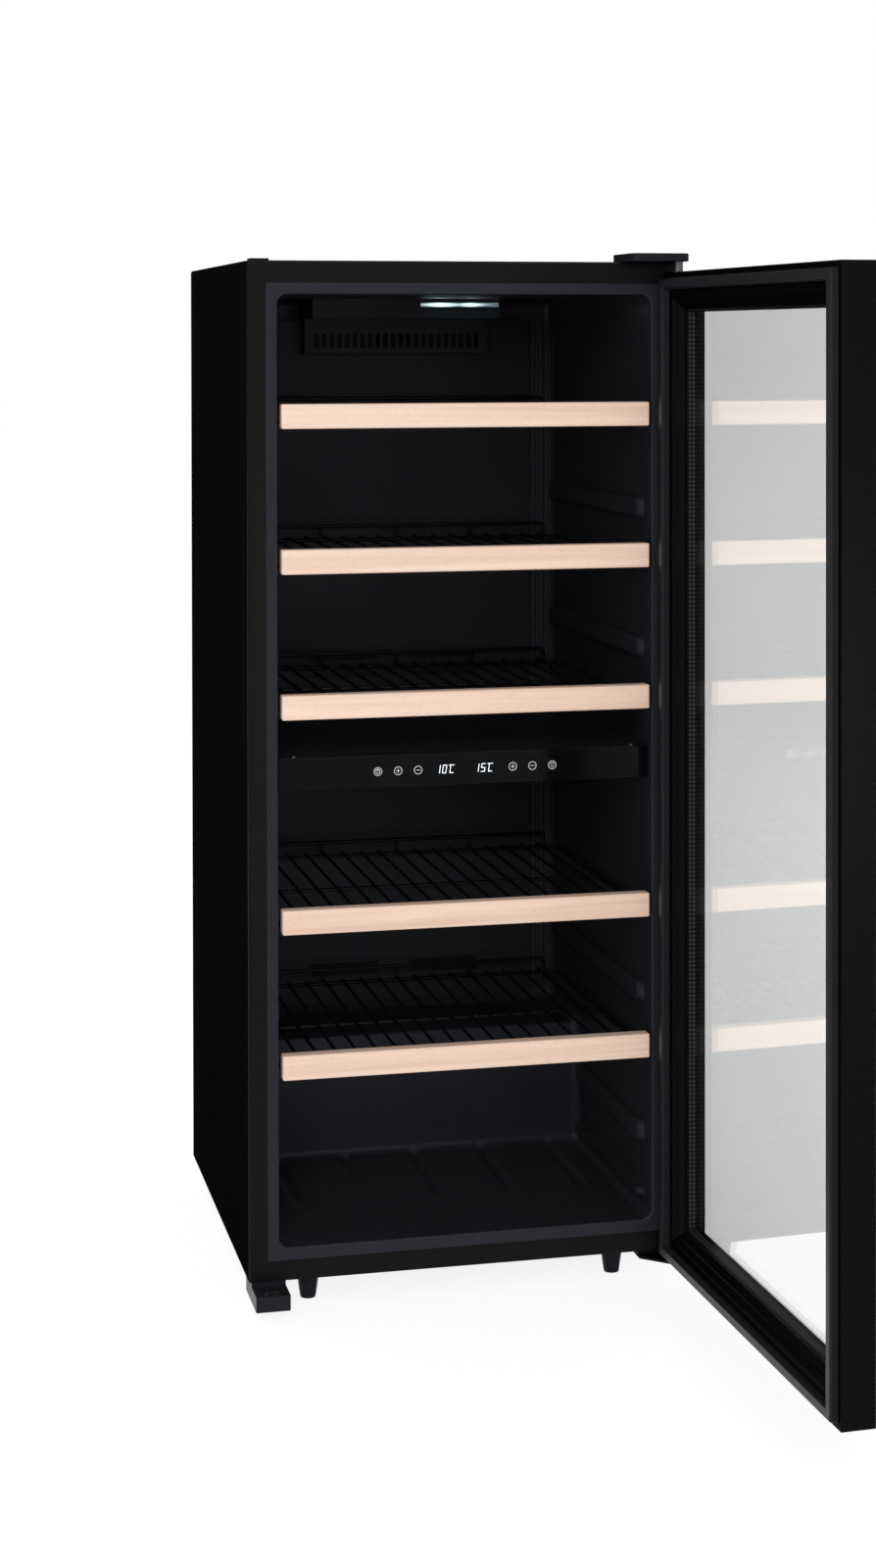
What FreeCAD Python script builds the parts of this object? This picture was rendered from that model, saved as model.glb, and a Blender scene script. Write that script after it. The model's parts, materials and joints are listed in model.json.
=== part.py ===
"""Free-standing two-zone wine cooler: a glass-doored cabinet with five sliding shelves.

Frame: millimetres, +Z up, the door side faces -Y, and the origin is on the floor under
the middle of the cabinet's footprint. The door is modelled shut and then swung open.
"""
import FreeCAD
import Part
import math
import os

V = FreeCAD.Vector

# ---------------------------------------------------------------- driving dimensions
body_width = 545.0
body_depth = 515.0
body_height = 1235.0
foot_height = 35.0

# steel shell
sheet = 1.2
side_return = 23.0          # width of the shell's folded front edge at each side
top_return = 27.0
rear_return = 14.0
rail_height = 24.5
rail_depth = 22.0
base_sheet = 1.5
shell_corner = 3.0

# liner and insulation
side_wall = 37.0            # shell's outside to the cavity
ceiling_wall = 40.6
floor_wall = 39.4
rear_wall = 52.0
liner_wall = 2.0
cavity_corner = 14.0
step_depth = 135.0          # the raised step over the compressor, front to back
step_height = 165.0
bay_insulation = 28.0
rail_out = 8.0              # how far a moulded shelf rail stands out of the side wall
rail_tall = 27.0
support_tall = 12.0
rail_front = 30.0
rail_end = 8.0
pad_rise = 3.2              # the floor behind stands this much above its front edge
pad_ramp = 100.0
pad_front = 100.0
channel_half = 12.0         # channels in the floor that keep bottles from rolling
channel_pitch = 93.0
channel_count = 5

# shelves
shelf_pitch = 176.0
front_tall = 30.0
front_thick = 18.0
front_proud = 6.0           # the wood stands this far out of the cabinet's front plane
top_shelf_drop = 132.9      # cavity ceiling to the top edge of the highest shelf front
lower_shelf_drop = 141.5    # divider's underside to the first shelf front below it
shelf_play = 4.0            # gap between a shelf front and the cavity, each side
deck_drop = 22.0            # top edge of the wood down to the frame wires' axis
deck_back = 425.0           # cabinet's front plane to the deck's rear wire
middle_wire = 208.0
frame_wire = 5.0
deck_wire = 4.0
deck_wires = 17
upstand = 19.0
weld = 0.4                  # how far crossing wires sink into each other
frame_bend = 12.0           # centre-line radius at the corners of the deck's frame
stop_bend = 8.0
stop_inset = 6.0            # from the frame's bend to the bottle stop's foot
post_play = 0.3             # the stop's posts are this much thinner than its rail
tab_offset = 165.0
tab_half = 9.0
tab_thick = 1.6
tab_below = 4.0
tab_above = 7.0
tab_screw_rise = 4.6
tab_screw_off = 5.0
shelf_travel = 300.0

# divider with the controls
divider_tall = 40.0
divider_top_drop = 563.4    # cavity ceiling to the divider's top
panel_setback = 12.0
panel_thick = 14.0
panel_glass = 3.0
panel_play = 2.0
divider_screw_offset = 214.0

# rear air panels, fans and evaporators
duct_half_width = 193.0
duct_thick = 16.0
duct_sheet = 2.0
duct_gap = 14.0             # from the ends of a zone to its rear panel
lamp_cover_width = 260.0
lamp_cover_depth = 113.0
lamp_cover_tall = 27.0
vent_cover_depth = 30.0
vent_cover_tall = 74.0
fan_radius = 26.0
fan_thick = 10.0
fan_play = 1.5
fan_drop = 35.0             # top of a rear air panel down to its fan's axis
grille_ring = 4.0           # width of each slot ring in front of a fan
grille_pitch = 8.0
grille_spoke = 4.0
spindle_radius = 2.0
running_play = 0.05

# door
door_gap = 9.5
door_thick = 40.5
door_below = 4.0            # the door reaches this far below the cabinet
door_top_drop = 13.5
frame_band = 49.0
frame_core = 20.0
bead_depth = 12.0
bead_flat = 31.6
bead_foot = 46.0
pane = 4.0
spacer_depth = 8.2
pane_inset = 21.0
gasket_inset = 7.0
gasket_width = 14.0
gasket_tall = 9.2
magnet_width = 8.0
magnet_tall = 4.2
bevel = 10.0
door_open = 92.0

# door hinges
hinge_side = 10.0           # hinge axis to the cabinet's side
hinge_front = 26.0          # hinge axis to the cabinet's front plane
hinge_plate = 3.0
pin_radius = 3.5
bush_radius = 6.0
bush_length = 20.0
bush_flange = 8.0
washer = 1.5                # bush flange, between the door and what it turns on

# handle and lock
handle_length = 440.0
handle_span = 387.0
handle_radius = 8.0
standoff_radius = 6.0
handle_bore = 16.0          # depth of the threaded hole in each stand-off
handle_seat = 4.0           # the screw heads lie this deep in the door frame
handle_out = 40.0
handle_inset = 22.0
lock_inset = 23.0
lock_rise = 12.0
lock_radius = 8.0
plug_radius = 5.5
cam_reach = 24.0
cam_thick = 3.0
cam_width = 9.0
cam_depth = 15.0            # door's inner face to the cam

# catch bracket, feet, machinery
catch_width = 42.0
catch_tall = 24.0
catch_out = 36.0
catch_gap = 1.5             # between the door's lower edge and the catch bracket
catch_back = 45.0
catch_side = 3.0            # cabinet's side to the catch bracket
catch_pocket = 15.0         # the pocket under the strike plate, deep
strike_half_x = 8.0
strike_half_y = 6.0
strike_thick = 1.5
strike_slot_x = 5.2
strike_slot_y = 3.0
foot_side = 78.5
foot_front = 38.0
foot_rear = 40.0
foot_top = 14.0
foot_sole = 9.5
stud_radius = 4.0
stud_length = 20.0
nut_tall = 6.0
compressor_x = -90.0
condenser_off = 14.0        # cabinet's back to the condenser's tube
condenser_runs = 11
condenser_pitch = 68.0
inlet_half = 15.0
inlet_side = 60.0           # cabinet's side to the mains inlet
inlet_rise = 18.0
cover_tall = 10.0           # roof cover over the hinge plate
screw_radius = 2.0
screw_head = 4.0
head_tall = 1.6

# ---------------------------------------------------------------- derived places
half_width = body_width / 2
front = -body_depth / 2
rear = body_depth / 2
floor = foot_height
top = foot_height + body_height
cavity_half = half_width - side_wall
cavity_low = floor + floor_wall
cavity_high = top - ceiling_wall
cavity_rear = rear - rear_wall
step_front = cavity_rear - step_depth
step_top = cavity_low + step_height
bay_front = step_front + liner_wall + bay_insulation
bay_top = step_top - liner_wall - bay_insulation
divider_high = cavity_high - divider_top_drop
divider_low = divider_high - divider_tall
shelf_half = cavity_half - shelf_play
wood_front = front - front_proud
wood_back = wood_front + front_thick
shelf_tops = [cavity_high - top_shelf_drop - i * shelf_pitch for i in range(3)]
shelf_tops += [divider_low - lower_shelf_drop - i * shelf_pitch for i in range(2)]
deck_rear = front + deck_back
door_low = floor - door_below
door_high = top - door_top_drop
inner_pane_at = bead_depth
spacer_at = bead_depth + pane
outer_pane_at = spacer_at + spacer_depth
flange_at = outer_pane_at + pane
hinge_x = half_width - hinge_side
hinge_y = front - hinge_front
free_x = -half_width


# ---------------------------------------------------------------- building blocks
def box(x0, x1, y0, y1, z0, z1):
    return Part.makeBox(x1 - x0, y1 - y0, z1 - z0, V(x0, y0, z0))


def rod(start, end, radius):
    run = end - start
    return Part.makeCylinder(radius, run.Length, start, run)


def rounded_rectangle(a0, a1, b0, b1, radius, place):
    """Closed wire of four lines and four quarter arcs; place maps (a, b) to a point."""
    k = radius * (1 - math.sqrt(0.5))
    runs = [((a0 + radius, b0), (a1 - radius, b0), (a1 - k, b0 + k), (a1, b0 + radius)),
            ((a1, b0 + radius), (a1, b1 - radius), (a1 - k, b1 - k), (a1 - radius, b1)),
            ((a1 - radius, b1), (a0 + radius, b1), (a0 + k, b1 - k), (a0, b1 - radius)),
            ((a0, b1 - radius), (a0, b0 + radius), (a0 + k, b0 + k), (a0 + radius, b0))]
    edges = []
    for start, end, middle, turn in runs:
        edges.append(Part.LineSegment(place(*start), place(*end)).toShape())
        edges.append(Part.Arc(place(*end), place(*middle), place(*turn)).toShape())
    return Part.Wire(edges)


def upright_block(x0, x1, y0, y1, z0, z1, radius):
    wire = rounded_rectangle(x0, x1, y0, y1, radius, lambda a, b: V(a, b, z0))
    return Part.Face(wire).extrude(V(0, 0, z1 - z0))


def facing_block(x0, x1, z0, z1, y0, y1, radius):
    wire = rounded_rectangle(x0, x1, z0, z1, radius, lambda a, b: V(a, y0, b))
    return Part.Face(wire).extrude(V(0, y1 - y0, 0))


def side_block(y0, y1, z0, z1, x0, x1, radius):
    wire = rounded_rectangle(y0, y1, z0, z1, radius, lambda a, b: V(x0, a, b))
    return Part.Face(wire).extrude(V(x1 - x0, 0, 0))


def fuse(solids):
    return solids[0].multiFuse(solids[1:]).removeSplitter()


def group(solids):
    return Part.Compound(solids)


def mirrored(shape):
    return shape.mirror(V(0, 0, 0), V(1, 0, 0))


def screw(at, direction, length, radius=screw_radius, head=screw_head):
    """Round-headed screw; at is the seat under its head and direction points inwards."""
    shank = Part.makeCylinder(radius, length, at, direction)
    cap = Part.makeCylinder(head, head_tall, at - direction * head_tall, direction)
    slot = box(-head, head, -0.5, 0.5, 0, 0.8)
    slot.Placement = FreeCAD.Placement(at - direction * head_tall,
                                       FreeCAD.Rotation(V(0, 0, 1), direction))
    return shank.fuse(cap).cut(slot)


def hole(at, direction, length, radius=screw_radius):
    return Part.makeCylinder(radius, length, at, direction)


UP = V(0, 0, 1)
DOWN = V(0, 0, -1)
INWARD = V(0, 1, 0)
OUTWARD = V(0, -1, 0)

parts = {}


# ---------------------------------------------------------------- cabinet shell
top_screws = [V(hinge_x - 8, front + 14, top), V(hinge_x - 34, front + 14, top),
              V(hinge_x - 34, front + 30, top)]
back_screws = [V(side * (half_width - sheet - rear_return / 2), rear, z)
               for side in (-1, 1) for z in (floor + 60, floor + 420, floor + 800, top - 40)]


def outer_shell():
    block = upright_block(-half_width, half_width, front, rear, floor, top, shell_corner)
    hollow = upright_block(-half_width + sheet, half_width - sheet, front + sheet,
                           rear - sheet, floor, top - sheet, shell_corner - sheet)
    front_opening = box(-half_width + side_return, half_width - side_return, front,
                        front + sheet, floor, top - top_return)
    rear_opening = box(-half_width + rear_return, half_width - rear_return,
                       rear - sheet, rear, floor, top - rear_return)
    shell = block.cut(hollow).cut(front_opening).cut(rear_opening)
    for at in top_screws:
        shell = shell.cut(hole(at + UP, DOWN, 4, screw_radius + running_play))
    for at in back_screws:
        shell = shell.cut(hole(at + INWARD, OUTWARD, 4))
    return shell


def back_panel():
    play = 2.0
    panel = box(-half_width + sheet + play, half_width - sheet - play, rear - 2 * sheet,
                rear - sheet, bay_top + sheet, top - sheet - play)
    for at in back_screws:
        panel = panel.cut(hole(at + INWARD, OUTWARD, 6))
    return panel


def bay_grille():
    play = 2.0
    half = half_width - sheet - play
    grille = box(-half, half, rear - 2 * sheet, rear - sheet, floor + base_sheet, bay_top)
    columns, rows, pitch_x, pitch_z = 8, 8, 50.0, 14.0
    low = floor + base_sheet + 34
    for column in range(columns):
        x = (column - (columns - 1) / 2) * pitch_x
        for row in range(rows):
            z = low + row * pitch_z
            if z < bay_top - 16:
                grille = grille.cut(facing_block(x - 19, x + 19, z, z + 5,
                                                 rear - 2 * sheet, rear - sheet, 2.4))
    inlet = box(inlet_x - inlet_half, inlet_x + inlet_half, rear - 2 * sheet, rear - sheet,
                inlet_z - 12, inlet_z + 12)
    grille = grille.cut(inlet)
    for at in back_screws:
        grille = grille.cut(hole(at + INWARD, OUTWARD, 6))
    return grille


inlet_x = half_width - inlet_side
inlet_z = floor + base_sheet + inlet_rise


def mains_inlet():
    body = box(inlet_x - inlet_half + 0.2, inlet_x + inlet_half - 0.2, rear - 22, rear,
               inlet_z - 11.8, inlet_z + 11.8)
    flange = facing_block(inlet_x - inlet_half - 5, inlet_x + inlet_half + 5, inlet_z - 14,
                          inlet_z + 14, rear - sheet, rear + 1.5, 3)
    mouth = facing_block(inlet_x - 12, inlet_x + 12, inlet_z - 8.5, inlet_z + 8.5,
                         rear - 16, rear + 1.5, 3)
    blades = [box(inlet_x + x - 1, inlet_x + x + 1, rear - 18, rear - 3, inlet_z - 2,
                  inlet_z + 3) for x in (-7, 0, 7)]
    return fuse([body.fuse(flange).cut(mouth)] + blades)


foot_places = {}
for side_name, side in (("left", -1), ("right", 1)):
    foot_places["front_" + side_name] = V(side * (half_width - foot_side),
                                          front + foot_front, floor)
    foot_places["rear_" + side_name] = V(side * (half_width - foot_side),
                                         rear - foot_rear, floor)

catch_x0 = free_x + catch_side
catch_screws = [V(catch_x0 + x, front + 26, floor) for x in (10, catch_width - 10)]
hinge_screws_low = [V(hinge_x - x, front + 30, floor) for x in (8, 34)]


def base_plate():
    """Folded floor sheet: its front edge turns up and back as the rail under the liner."""
    half = half_width - sheet - 0.8
    rail_half = half_width - side_return - 0.2
    plate = box(-half, half, front + sheet + 0.2, rear - 2 * sheet - 0.2, floor,
                floor + base_sheet)
    lip = box(-rail_half, rail_half, front, front + sheet + 0.3, floor, floor + base_sheet)
    face = box(-rail_half, rail_half, front, front + sheet, floor, floor + rail_height)
    ledge = box(-rail_half, rail_half, front, front + rail_depth,
                floor + rail_height - sheet, floor + rail_height)
    plate = fuse([plate, lip, face, ledge] + foot_nuts())
    for place in foot_places.values():
        plate = plate.cut(hole(place - UP, UP, nut_tall + 4, stud_radius + running_play))
    for at in catch_screws + hinge_screws_low:
        plate = plate.cut(hole(at - UP, UP, 4))
    return plate


def foot_nuts():
    """Hexagonal weld nuts on the floor sheet, one over each foot."""
    nuts = []
    for place in foot_places.values():
        base = place + UP * base_sheet
        ring = [V(7.5 * math.cos(a), 7.5 * math.sin(a), 0) + base
                for a in (i * math.pi / 3 for i in range(6))]
        nuts.append(Part.Face(Part.makePolygon(ring + ring[:1])).extrude(UP * nut_tall))
    return nuts


def levelling_foot(place):
    cone = Part.makeCone(foot_sole, foot_top, foot_height - 3.5, V(place.x, place.y, 0), UP)
    collar = Part.makeCylinder(foot_top, 3.2, V(place.x, place.y, foot_height - 3.5), UP)
    flutes = 16
    grooves = []
    for i in range(flutes):
        a = 2 * math.pi * i / flutes
        low = V(place.x + (foot_sole + 0.6) * math.cos(a),
                place.y + (foot_sole + 0.6) * math.sin(a), 3)
        high = V(place.x + (foot_top + 0.6) * math.cos(a),
                 place.y + (foot_top + 0.6) * math.sin(a), foot_height - 5)
        grooves.append(rod(low, high, 1.3))
    stud = Part.makeCylinder(stud_radius, stud_length,
                             V(place.x, place.y, foot_height - 3.5), UP)
    return cone.fuse(collar).cut(group(grooves)).fuse(stud).removeSplitter()


# ---------------------------------------------------------------- liner and insulation
def cavity_block(grow):
    outer = facing_block(-cavity_half - grow, cavity_half + grow, cavity_low - grow,
                         cavity_high + grow, front, cavity_rear + grow,
                         cavity_corner + grow)
    step = box(-half_width, half_width, step_front + grow, rear, floor, step_top - grow)
    return outer.cut(step)


def liner_flange():
    edge = side_return
    return facing_block(-half_width + edge, half_width - edge, floor + rail_height,
                        top - top_return, front, front + liner_wall, 3)


def shelf_rails():
    """Moulded ribs on the right side wall: one under each deck and one above it."""
    wall = cavity_half
    ribs = []
    for shelf_top in shelf_tops:
        support = shelf_top - deck_drop - frame_wire / 2
        ribs.append((support - support_tall, support, step_front if support < step_top
                     else cavity_rear - rail_end))
    spans = [shelf_tops[1], shelf_tops[2], shelf_tops[4]]
    for shelf_top in spans:
        high = shelf_top - deck_drop + 77
        ribs.append((high - rail_tall, high, cavity_rear - rail_end))
    low_gap = shelf_tops[4] - deck_drop - 99
    ribs.append((low_gap - rail_tall, low_gap, step_front - rail_end))
    ribs.append((cavity_low + cavity_corner + 3, cavity_low + cavity_corner + 15,
                 step_front - rail_end))
    return [side_block(front + rail_front, back, low, high, wall - rail_out, wall + 1, 5)
            for low, high, back in ribs]


def floor_pad():
    """The floor's raised rear part, with a round-bottomed channel for each bottle."""
    side = cavity_half - cavity_corner
    start, end = front + pad_front, step_front + 1
    profile = [V(-side, y, z) for y, z in (
        (start, cavity_low - 1), (end, cavity_low - 1), (end, cavity_low + pad_rise),
        (start + pad_ramp, cavity_low + pad_rise), (start, cavity_low + 0.1))]
    outline = Part.makePolygon(profile + profile[:1])
    pad = Part.Face(outline).extrude(V(2 * side, 0, 0))
    radius = (channel_half ** 2 + pad_rise ** 2) / (2 * pad_rise)
    axis_z = cavity_low + 0.2 + radius
    for i in range(channel_count):
        x = (i - (channel_count - 1) / 2) * channel_pitch
        pad = pad.cut(rod(V(x, start - 5, axis_z), V(x, end + 5, axis_z), radius))
    return pad


def inner_liner():
    liner = cavity_block(liner_wall).fuse(liner_flange()).cut(cavity_block(0))
    right = shelf_rails()
    left = [mirrored(rib) for rib in right]
    return liner.multiFuse(right + left + [floor_pad()]).removeSplitter()


def machine_room():
    half = half_width - sheet - 0.4
    upright = box(-half, half, bay_front, bay_front + sheet, floor + base_sheet,
                  bay_top + sheet)
    lid = box(-half, half, bay_front, rear - 2 * sheet, bay_top, bay_top + sheet)
    return upright.fuse(lid).removeSplitter()


def insulation():
    play = 0.3
    half = half_width - sheet - play
    foam = box(-half, half, front + liner_wall + play, rear - 2 * sheet - play,
               floor + base_sheet + play, top - sheet - play)
    rail_space = box(-half_width, half_width, front, front + rail_depth + play, floor,
                     floor + rail_height + play)
    bay = box(-half_width, half_width, bay_front - play, rear, floor,
              bay_top + sheet + play)
    foam = foam.cut(cavity_block(liner_wall + play)).cut(rail_space).cut(bay)
    for place in foot_places.values():
        if place.y < 0:
            foam = foam.cut(hole(place, UP, base_sheet + stud_length, 9.5))
    for at in catch_screws + hinge_screws_low:
        foam = foam.cut(hole(at, UP, 14, screw_radius + 1))
    for at in top_screws:
        foam = foam.cut(hole(at, DOWN, 14, screw_radius + 1))
    for at in back_screws:
        foam = foam.cut(hole(at, OUTWARD, 12, screw_radius + 1))
    return foam


# ---------------------------------------------------------------- rear air panels
def zone(name):
    """Lowest and highest z of a zone's rear air panel, and the height of its fan."""
    if name == "upper":
        return divider_high + duct_gap, cavity_high - lamp_cover_tall - 2
    return step_top + duct_gap, divider_low - duct_gap


def fan_height(name):
    low, high = zone(name)
    return high - fan_drop


def rear_air_panel(name):
    low, high = zone(name)
    back = cavity_rear - 0.2
    skin = facing_block(-duct_half_width, duct_half_width, low, high, back - duct_thick,
                        back, 10)
    hollow = facing_block(-duct_half_width + duct_sheet, duct_half_width - duct_sheet,
                          low + duct_sheet, high - duct_sheet,
                          back - duct_thick + duct_sheet, back, 8)
    panel = skin.cut(hollow)
    fan_z = fan_height(name)
    face = back - duct_thick - 1
    reach = fan_radius + 10
    thin = grille_spoke / 2
    spokes = [box(-reach, reach, face, back, fan_z - thin, fan_z + thin),
              box(-thin, thin, face, back, fan_z - reach, fan_z + reach)]
    lowest = cavity_high - vent_cover_tall + 4 if name == "upper" else low
    behind_cover = box(-reach, reach, face, back, lowest, high)
    for ring in range(3):
        outer = fan_radius - ring * grille_pitch
        slots = rod(V(0, face, fan_z), V(0, back, fan_z), outer)
        slots = slots.cut(rod(V(0, face, fan_z), V(0, back, fan_z), outer - grille_ring))
        panel = panel.cut(slots.cut(group(spokes)).common(behind_cover))
    for row in range(3):
        z = low + 26 + row * 12
        for column in (-1, 1):
            x = column * 70
            panel = panel.cut(facing_block(x - 48, x + 48, z, z + 5,
                                           back - duct_thick - 1, back, 2.4))
    return panel


def evaporator(name):
    low, high = zone(name)
    back = cavity_rear - 0.4
    fan_z = fan_height(name)
    bottom = low + 74
    plate_top = fan_z - fan_radius - 14
    plate = box(-150, 150, back - 2, back, bottom, plate_top)
    runs = 5
    tubes = []
    for i in range(runs):
        z = bottom + 12 + (plate_top - bottom - 24) * i / (runs - 1)
        tubes.append(rod(V(-140, back - 4.2, z), V(140, back - 4.2, z), 2.5))
    return fuse([plate] + tubes)


def fan_frame(name):
    fan_z = fan_height(name)
    back = cavity_rear - 0.4
    face = back - duct_thick + duct_sheet + 0.6
    outer = fan_radius + 6
    frame = box(-outer, outer, face, back, fan_z - outer, fan_z + outer)
    bore = rod(V(0, face, fan_z), V(0, back - 1.5, fan_z), fan_radius + fan_play)
    spindle = rod(V(0, face + 0.5, fan_z), V(0, back, fan_z), spindle_radius)
    return frame.cut(bore).fuse(spindle).removeSplitter()


def fan_rotor(name):
    fan_z = fan_height(name)
    back = cavity_rear - 0.4
    start = back - 2.4
    hub = rod(V(0, start - fan_thick, fan_z), V(0, start, fan_z), 10)
    blades = []
    blade_count = 7
    for i in range(blade_count):
        blade = box(8, fan_radius, -0.8, 0.8, -fan_thick / 2 + 0.6, fan_thick / 2 - 0.6)
        blade.rotate(V(0, 0, 0), V(1, 0, 0), 40)
        blade = blade.common(Part.makeCylinder(fan_radius - 0.5, fan_thick,
                                               V(0, 0, -fan_thick / 2), UP))
        blade.rotate(V(0, 0, 0), UP, 360.0 * i / blade_count)
        blade.rotate(V(0, 0, 0), V(1, 0, 0), 90)
        blade.translate(V(0, start - fan_thick / 2, fan_z))
        blades.append(blade)
    rotor = fuse([hub] + blades)
    return rotor.cut(rod(V(0, start - fan_thick - 1, fan_z), V(0, start + 1, fan_z),
                         spindle_radius + running_play))


# ---------------------------------------------------------------- lamp and upper vent
lamp_half = lamp_cover_width / 2
lamp_front = cavity_rear - lamp_cover_depth
lens_x0, lens_x1 = 19.0, 128.0
lens_low = cavity_high - 11.0
lens_high = cavity_high - 5.0


def ceiling_cover():
    """One moulding: the lamp's ledge under the ceiling and the slotted vent below it."""
    return lamp_ledge().fuse(vent_box()).removeSplitter()


def lamp_ledge():
    wall = 2.0
    outer = box(-lamp_half, lamp_half, lamp_front, cavity_rear - 0.2,
                cavity_high - lamp_cover_tall, cavity_high - 0.2)
    hollow = box(-lamp_half + wall, lamp_half - wall, lamp_front + wall,
                 cavity_rear - 0.2, cavity_high - lamp_cover_tall + wall,
                 cavity_high - 0.2)
    window = box(lens_x0, lens_x1, lamp_front - 1, lamp_front + wall + 1, lens_low,
                 lens_high)
    return outer.cut(hollow).cut(window)


def vent_box():
    wall = 2.0
    high = cavity_high - lamp_cover_tall
    low = cavity_high - vent_cover_tall
    back = cavity_rear - duct_thick - 0.5
    near = back - vent_cover_depth
    outer = box(-lamp_half + 1, lamp_half - 1, near, back, low, high)
    hollow = box(-lamp_half + 1 + wall, lamp_half - 1 - wall, near + wall, back,
                 low + wall, high - wall)
    cover = outer.cut(hollow)
    slots = 22
    pitch = (lamp_cover_width - 24) / slots
    for i in range(slots):
        x = -lamp_half + 12 + (i + 0.5) * pitch
        cover = cover.cut(box(x - 3, x + 3, near - 1, near + wall + 1, low + 8,
                              high - 20))
    return cover


def lamp_lens():
    return box(lens_x0 + 0.15, lens_x1 - 0.15, lamp_front - 0.6, lamp_front + 3.4,
               lens_low + 0.15, lens_high - 0.15)


def lamp_board():
    board = box(lens_x0 + 2, lens_x1 - 2, lamp_front + 7, lamp_front + 8.6,
                lens_low - 1, lens_high + 1)
    leds = []
    count = 9
    for i in range(count):
        x = lens_x0 + 10 + (lens_x1 - lens_x0 - 20) * i / (count - 1)
        leds.append(box(x - 1.5, x + 1.5, lamp_front + 5.8, lamp_front + 7.1,
                        lens_low + 1.5, lens_high - 1.5))
    return fuse([board] + leds)


# ---------------------------------------------------------------- divider and controls
panel_front = front + panel_setback
panel_half = cavity_half - panel_play
panel_back = panel_front + panel_thick
key_places = [-110.4, -85.0, -60.0, 60.0, 85.0, 110.4]
divider_screws = [V(side * divider_screw_offset, panel_front + 6, divider_high)
                  for side in (-1, 1)]


def divider():
    play = 1.0
    half = cavity_half - play
    back = cavity_rear - duct_thick - 2
    block = box(-half, half, panel_back + 0.2, back, divider_low + 1, divider_high - 1)
    slots = [box(x - 30, x + 30, back - 24, back - 12, divider_low, divider_high)
             for x in (-130, 130)]
    for slot in slots:
        block = block.cut(slot)
    wire_way = box(-60, 60, panel_back, panel_back + 14, divider_low + 8,
                   divider_high - 8)
    return block.cut(wire_way)


def control_housing():
    outer = box(-panel_half, panel_half, panel_front + panel_glass, panel_back,
                divider_low, divider_high)
    pocket = box(-130, 130, panel_front + panel_glass, panel_back, divider_low + 6,
                 divider_high - 6)
    housing = outer.cut(pocket)
    for at in divider_screws:
        housing = housing.cut(hole(at + UP, DOWN, 12))
    return housing


def control_glass():
    return facing_block(-panel_half, panel_half, divider_low, divider_high, panel_front,
                        panel_front + panel_glass, 1.5)


def control_board():
    near = panel_front + panel_glass + 0.3
    board = box(-126, 126, near + 3, near + 4.6, divider_low + 9, divider_high - 9)
    middle = (divider_low + divider_high) / 2
    displays = [box(x - 14, x + 14, near, near + 3.1, middle - 7, middle + 7)
                for x in (-24.5, 24.5)]
    pads = [Part.makeCylinder(4.5, 3.1, V(x, near, middle), INWARD) for x in key_places]
    return fuse([board] + displays + pads)


# ---------------------------------------------------------------- shelves
def bent_wire(path, radius, direction):
    """Round wire along a path; direction is the way that the path sets off."""
    start = path.OrderedVertexes[0].Point
    ring = Part.Wire([Part.makeCircle(radius, start, direction)])
    return path.makePipeShell([ring], True, False)


def shelf_deck(shelf_top):
    """Welded wire grid, and the bent wire behind it that stops the bottles."""
    return group([shelf_grid(shelf_top), shelf_stop(shelf_top)])


def shelf_grid(shelf_top):
    level = shelf_top - deck_drop
    r = frame_wire / 2
    near = wood_back + r
    side = shelf_half - r
    thin = level + r + deck_wire / 2 - weld
    outline = rounded_rectangle(-side, side, near, deck_rear, frame_bend,
                                lambda a, b: V(a, b, level))
    wires = [bent_wire(outline, r, V(1, 0, 0)),
             rod(V(-side, front + middle_wire, level), V(side, front + middle_wire, level), r)]
    pitch = 2 * side / (deck_wires + 1)
    for i in range(deck_wires):
        x = -side + (i + 1) * pitch
        wires.append(rod(V(x, near - weld, thin), V(x, deck_rear + weld, thin),
                         deck_wire / 2))
    for s in (-1, 1):
        x = s * tab_offset
        wires.append(box(x - tab_half, x + tab_half, wood_back, wood_back + tab_thick,
                         level - tab_below, level + tab_above))
    grid = fuse(wires)
    for at in shelf_screw_seats(shelf_top):
        grid = grid.cut(hole(at + INWARD, OUTWARD, tab_thick + 1))
    return grid


def shelf_stop(shelf_top):
    level = shelf_top - deck_drop
    r = frame_wire / 2
    side = shelf_half - r - frame_bend - stop_inset
    high = level + upstand
    bend = stop_bend
    k = bend * (1 - math.sqrt(0.5))
    y = deck_rear
    corners = [V(-side, y, level), V(-side, y, high - bend), V(-side + k, y, high - k),
               V(-side + bend, y, high), V(side - bend, y, high), V(side - k, y, high - k),
               V(side, y, high - bend), V(side, y, level)]
    path = Part.Wire([Part.LineSegment(corners[0], corners[1]).toShape(),
                      Part.Arc(corners[1], corners[2], corners[3]).toShape(),
                      Part.LineSegment(corners[3], corners[4]).toShape(),
                      Part.Arc(corners[4], corners[5], corners[6]).toShape(),
                      Part.LineSegment(corners[6], corners[7]).toShape()])
    wires = [bent_wire(path, r, UP)]
    for x in (-side / 2, 0, side / 2):
        wires.append(rod(V(x, y, level), V(x, y, high), r - post_play))
    return fuse(wires).cut(rod(V(-side - r - 1, y, level), V(side + r + 1, y, level), r))


def shelf_screw_seats(shelf_top):
    level = shelf_top - deck_drop
    return [V(s * tab_offset + dx, wood_back + tab_thick, level + tab_screw_rise)
            for s in (-1, 1) for dx in (-tab_screw_off, tab_screw_off)]


def shelf_front(shelf_top):
    wood = box(-shelf_half, shelf_half, wood_front, wood_back, shelf_top - front_tall,
               shelf_top)
    wood = wood.makeFillet(2.0, wood.Edges)
    for at in shelf_screw_seats(shelf_top):
        wood = wood.cut(hole(at, OUTWARD, 12, screw_radius - 0.5))
    return wood


# ---------------------------------------------------------------- door (modelled shut)
def swing_open(shape):
    shape.rotate(V(hinge_x, hinge_y, 0), UP, door_open)
    return shape


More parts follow.
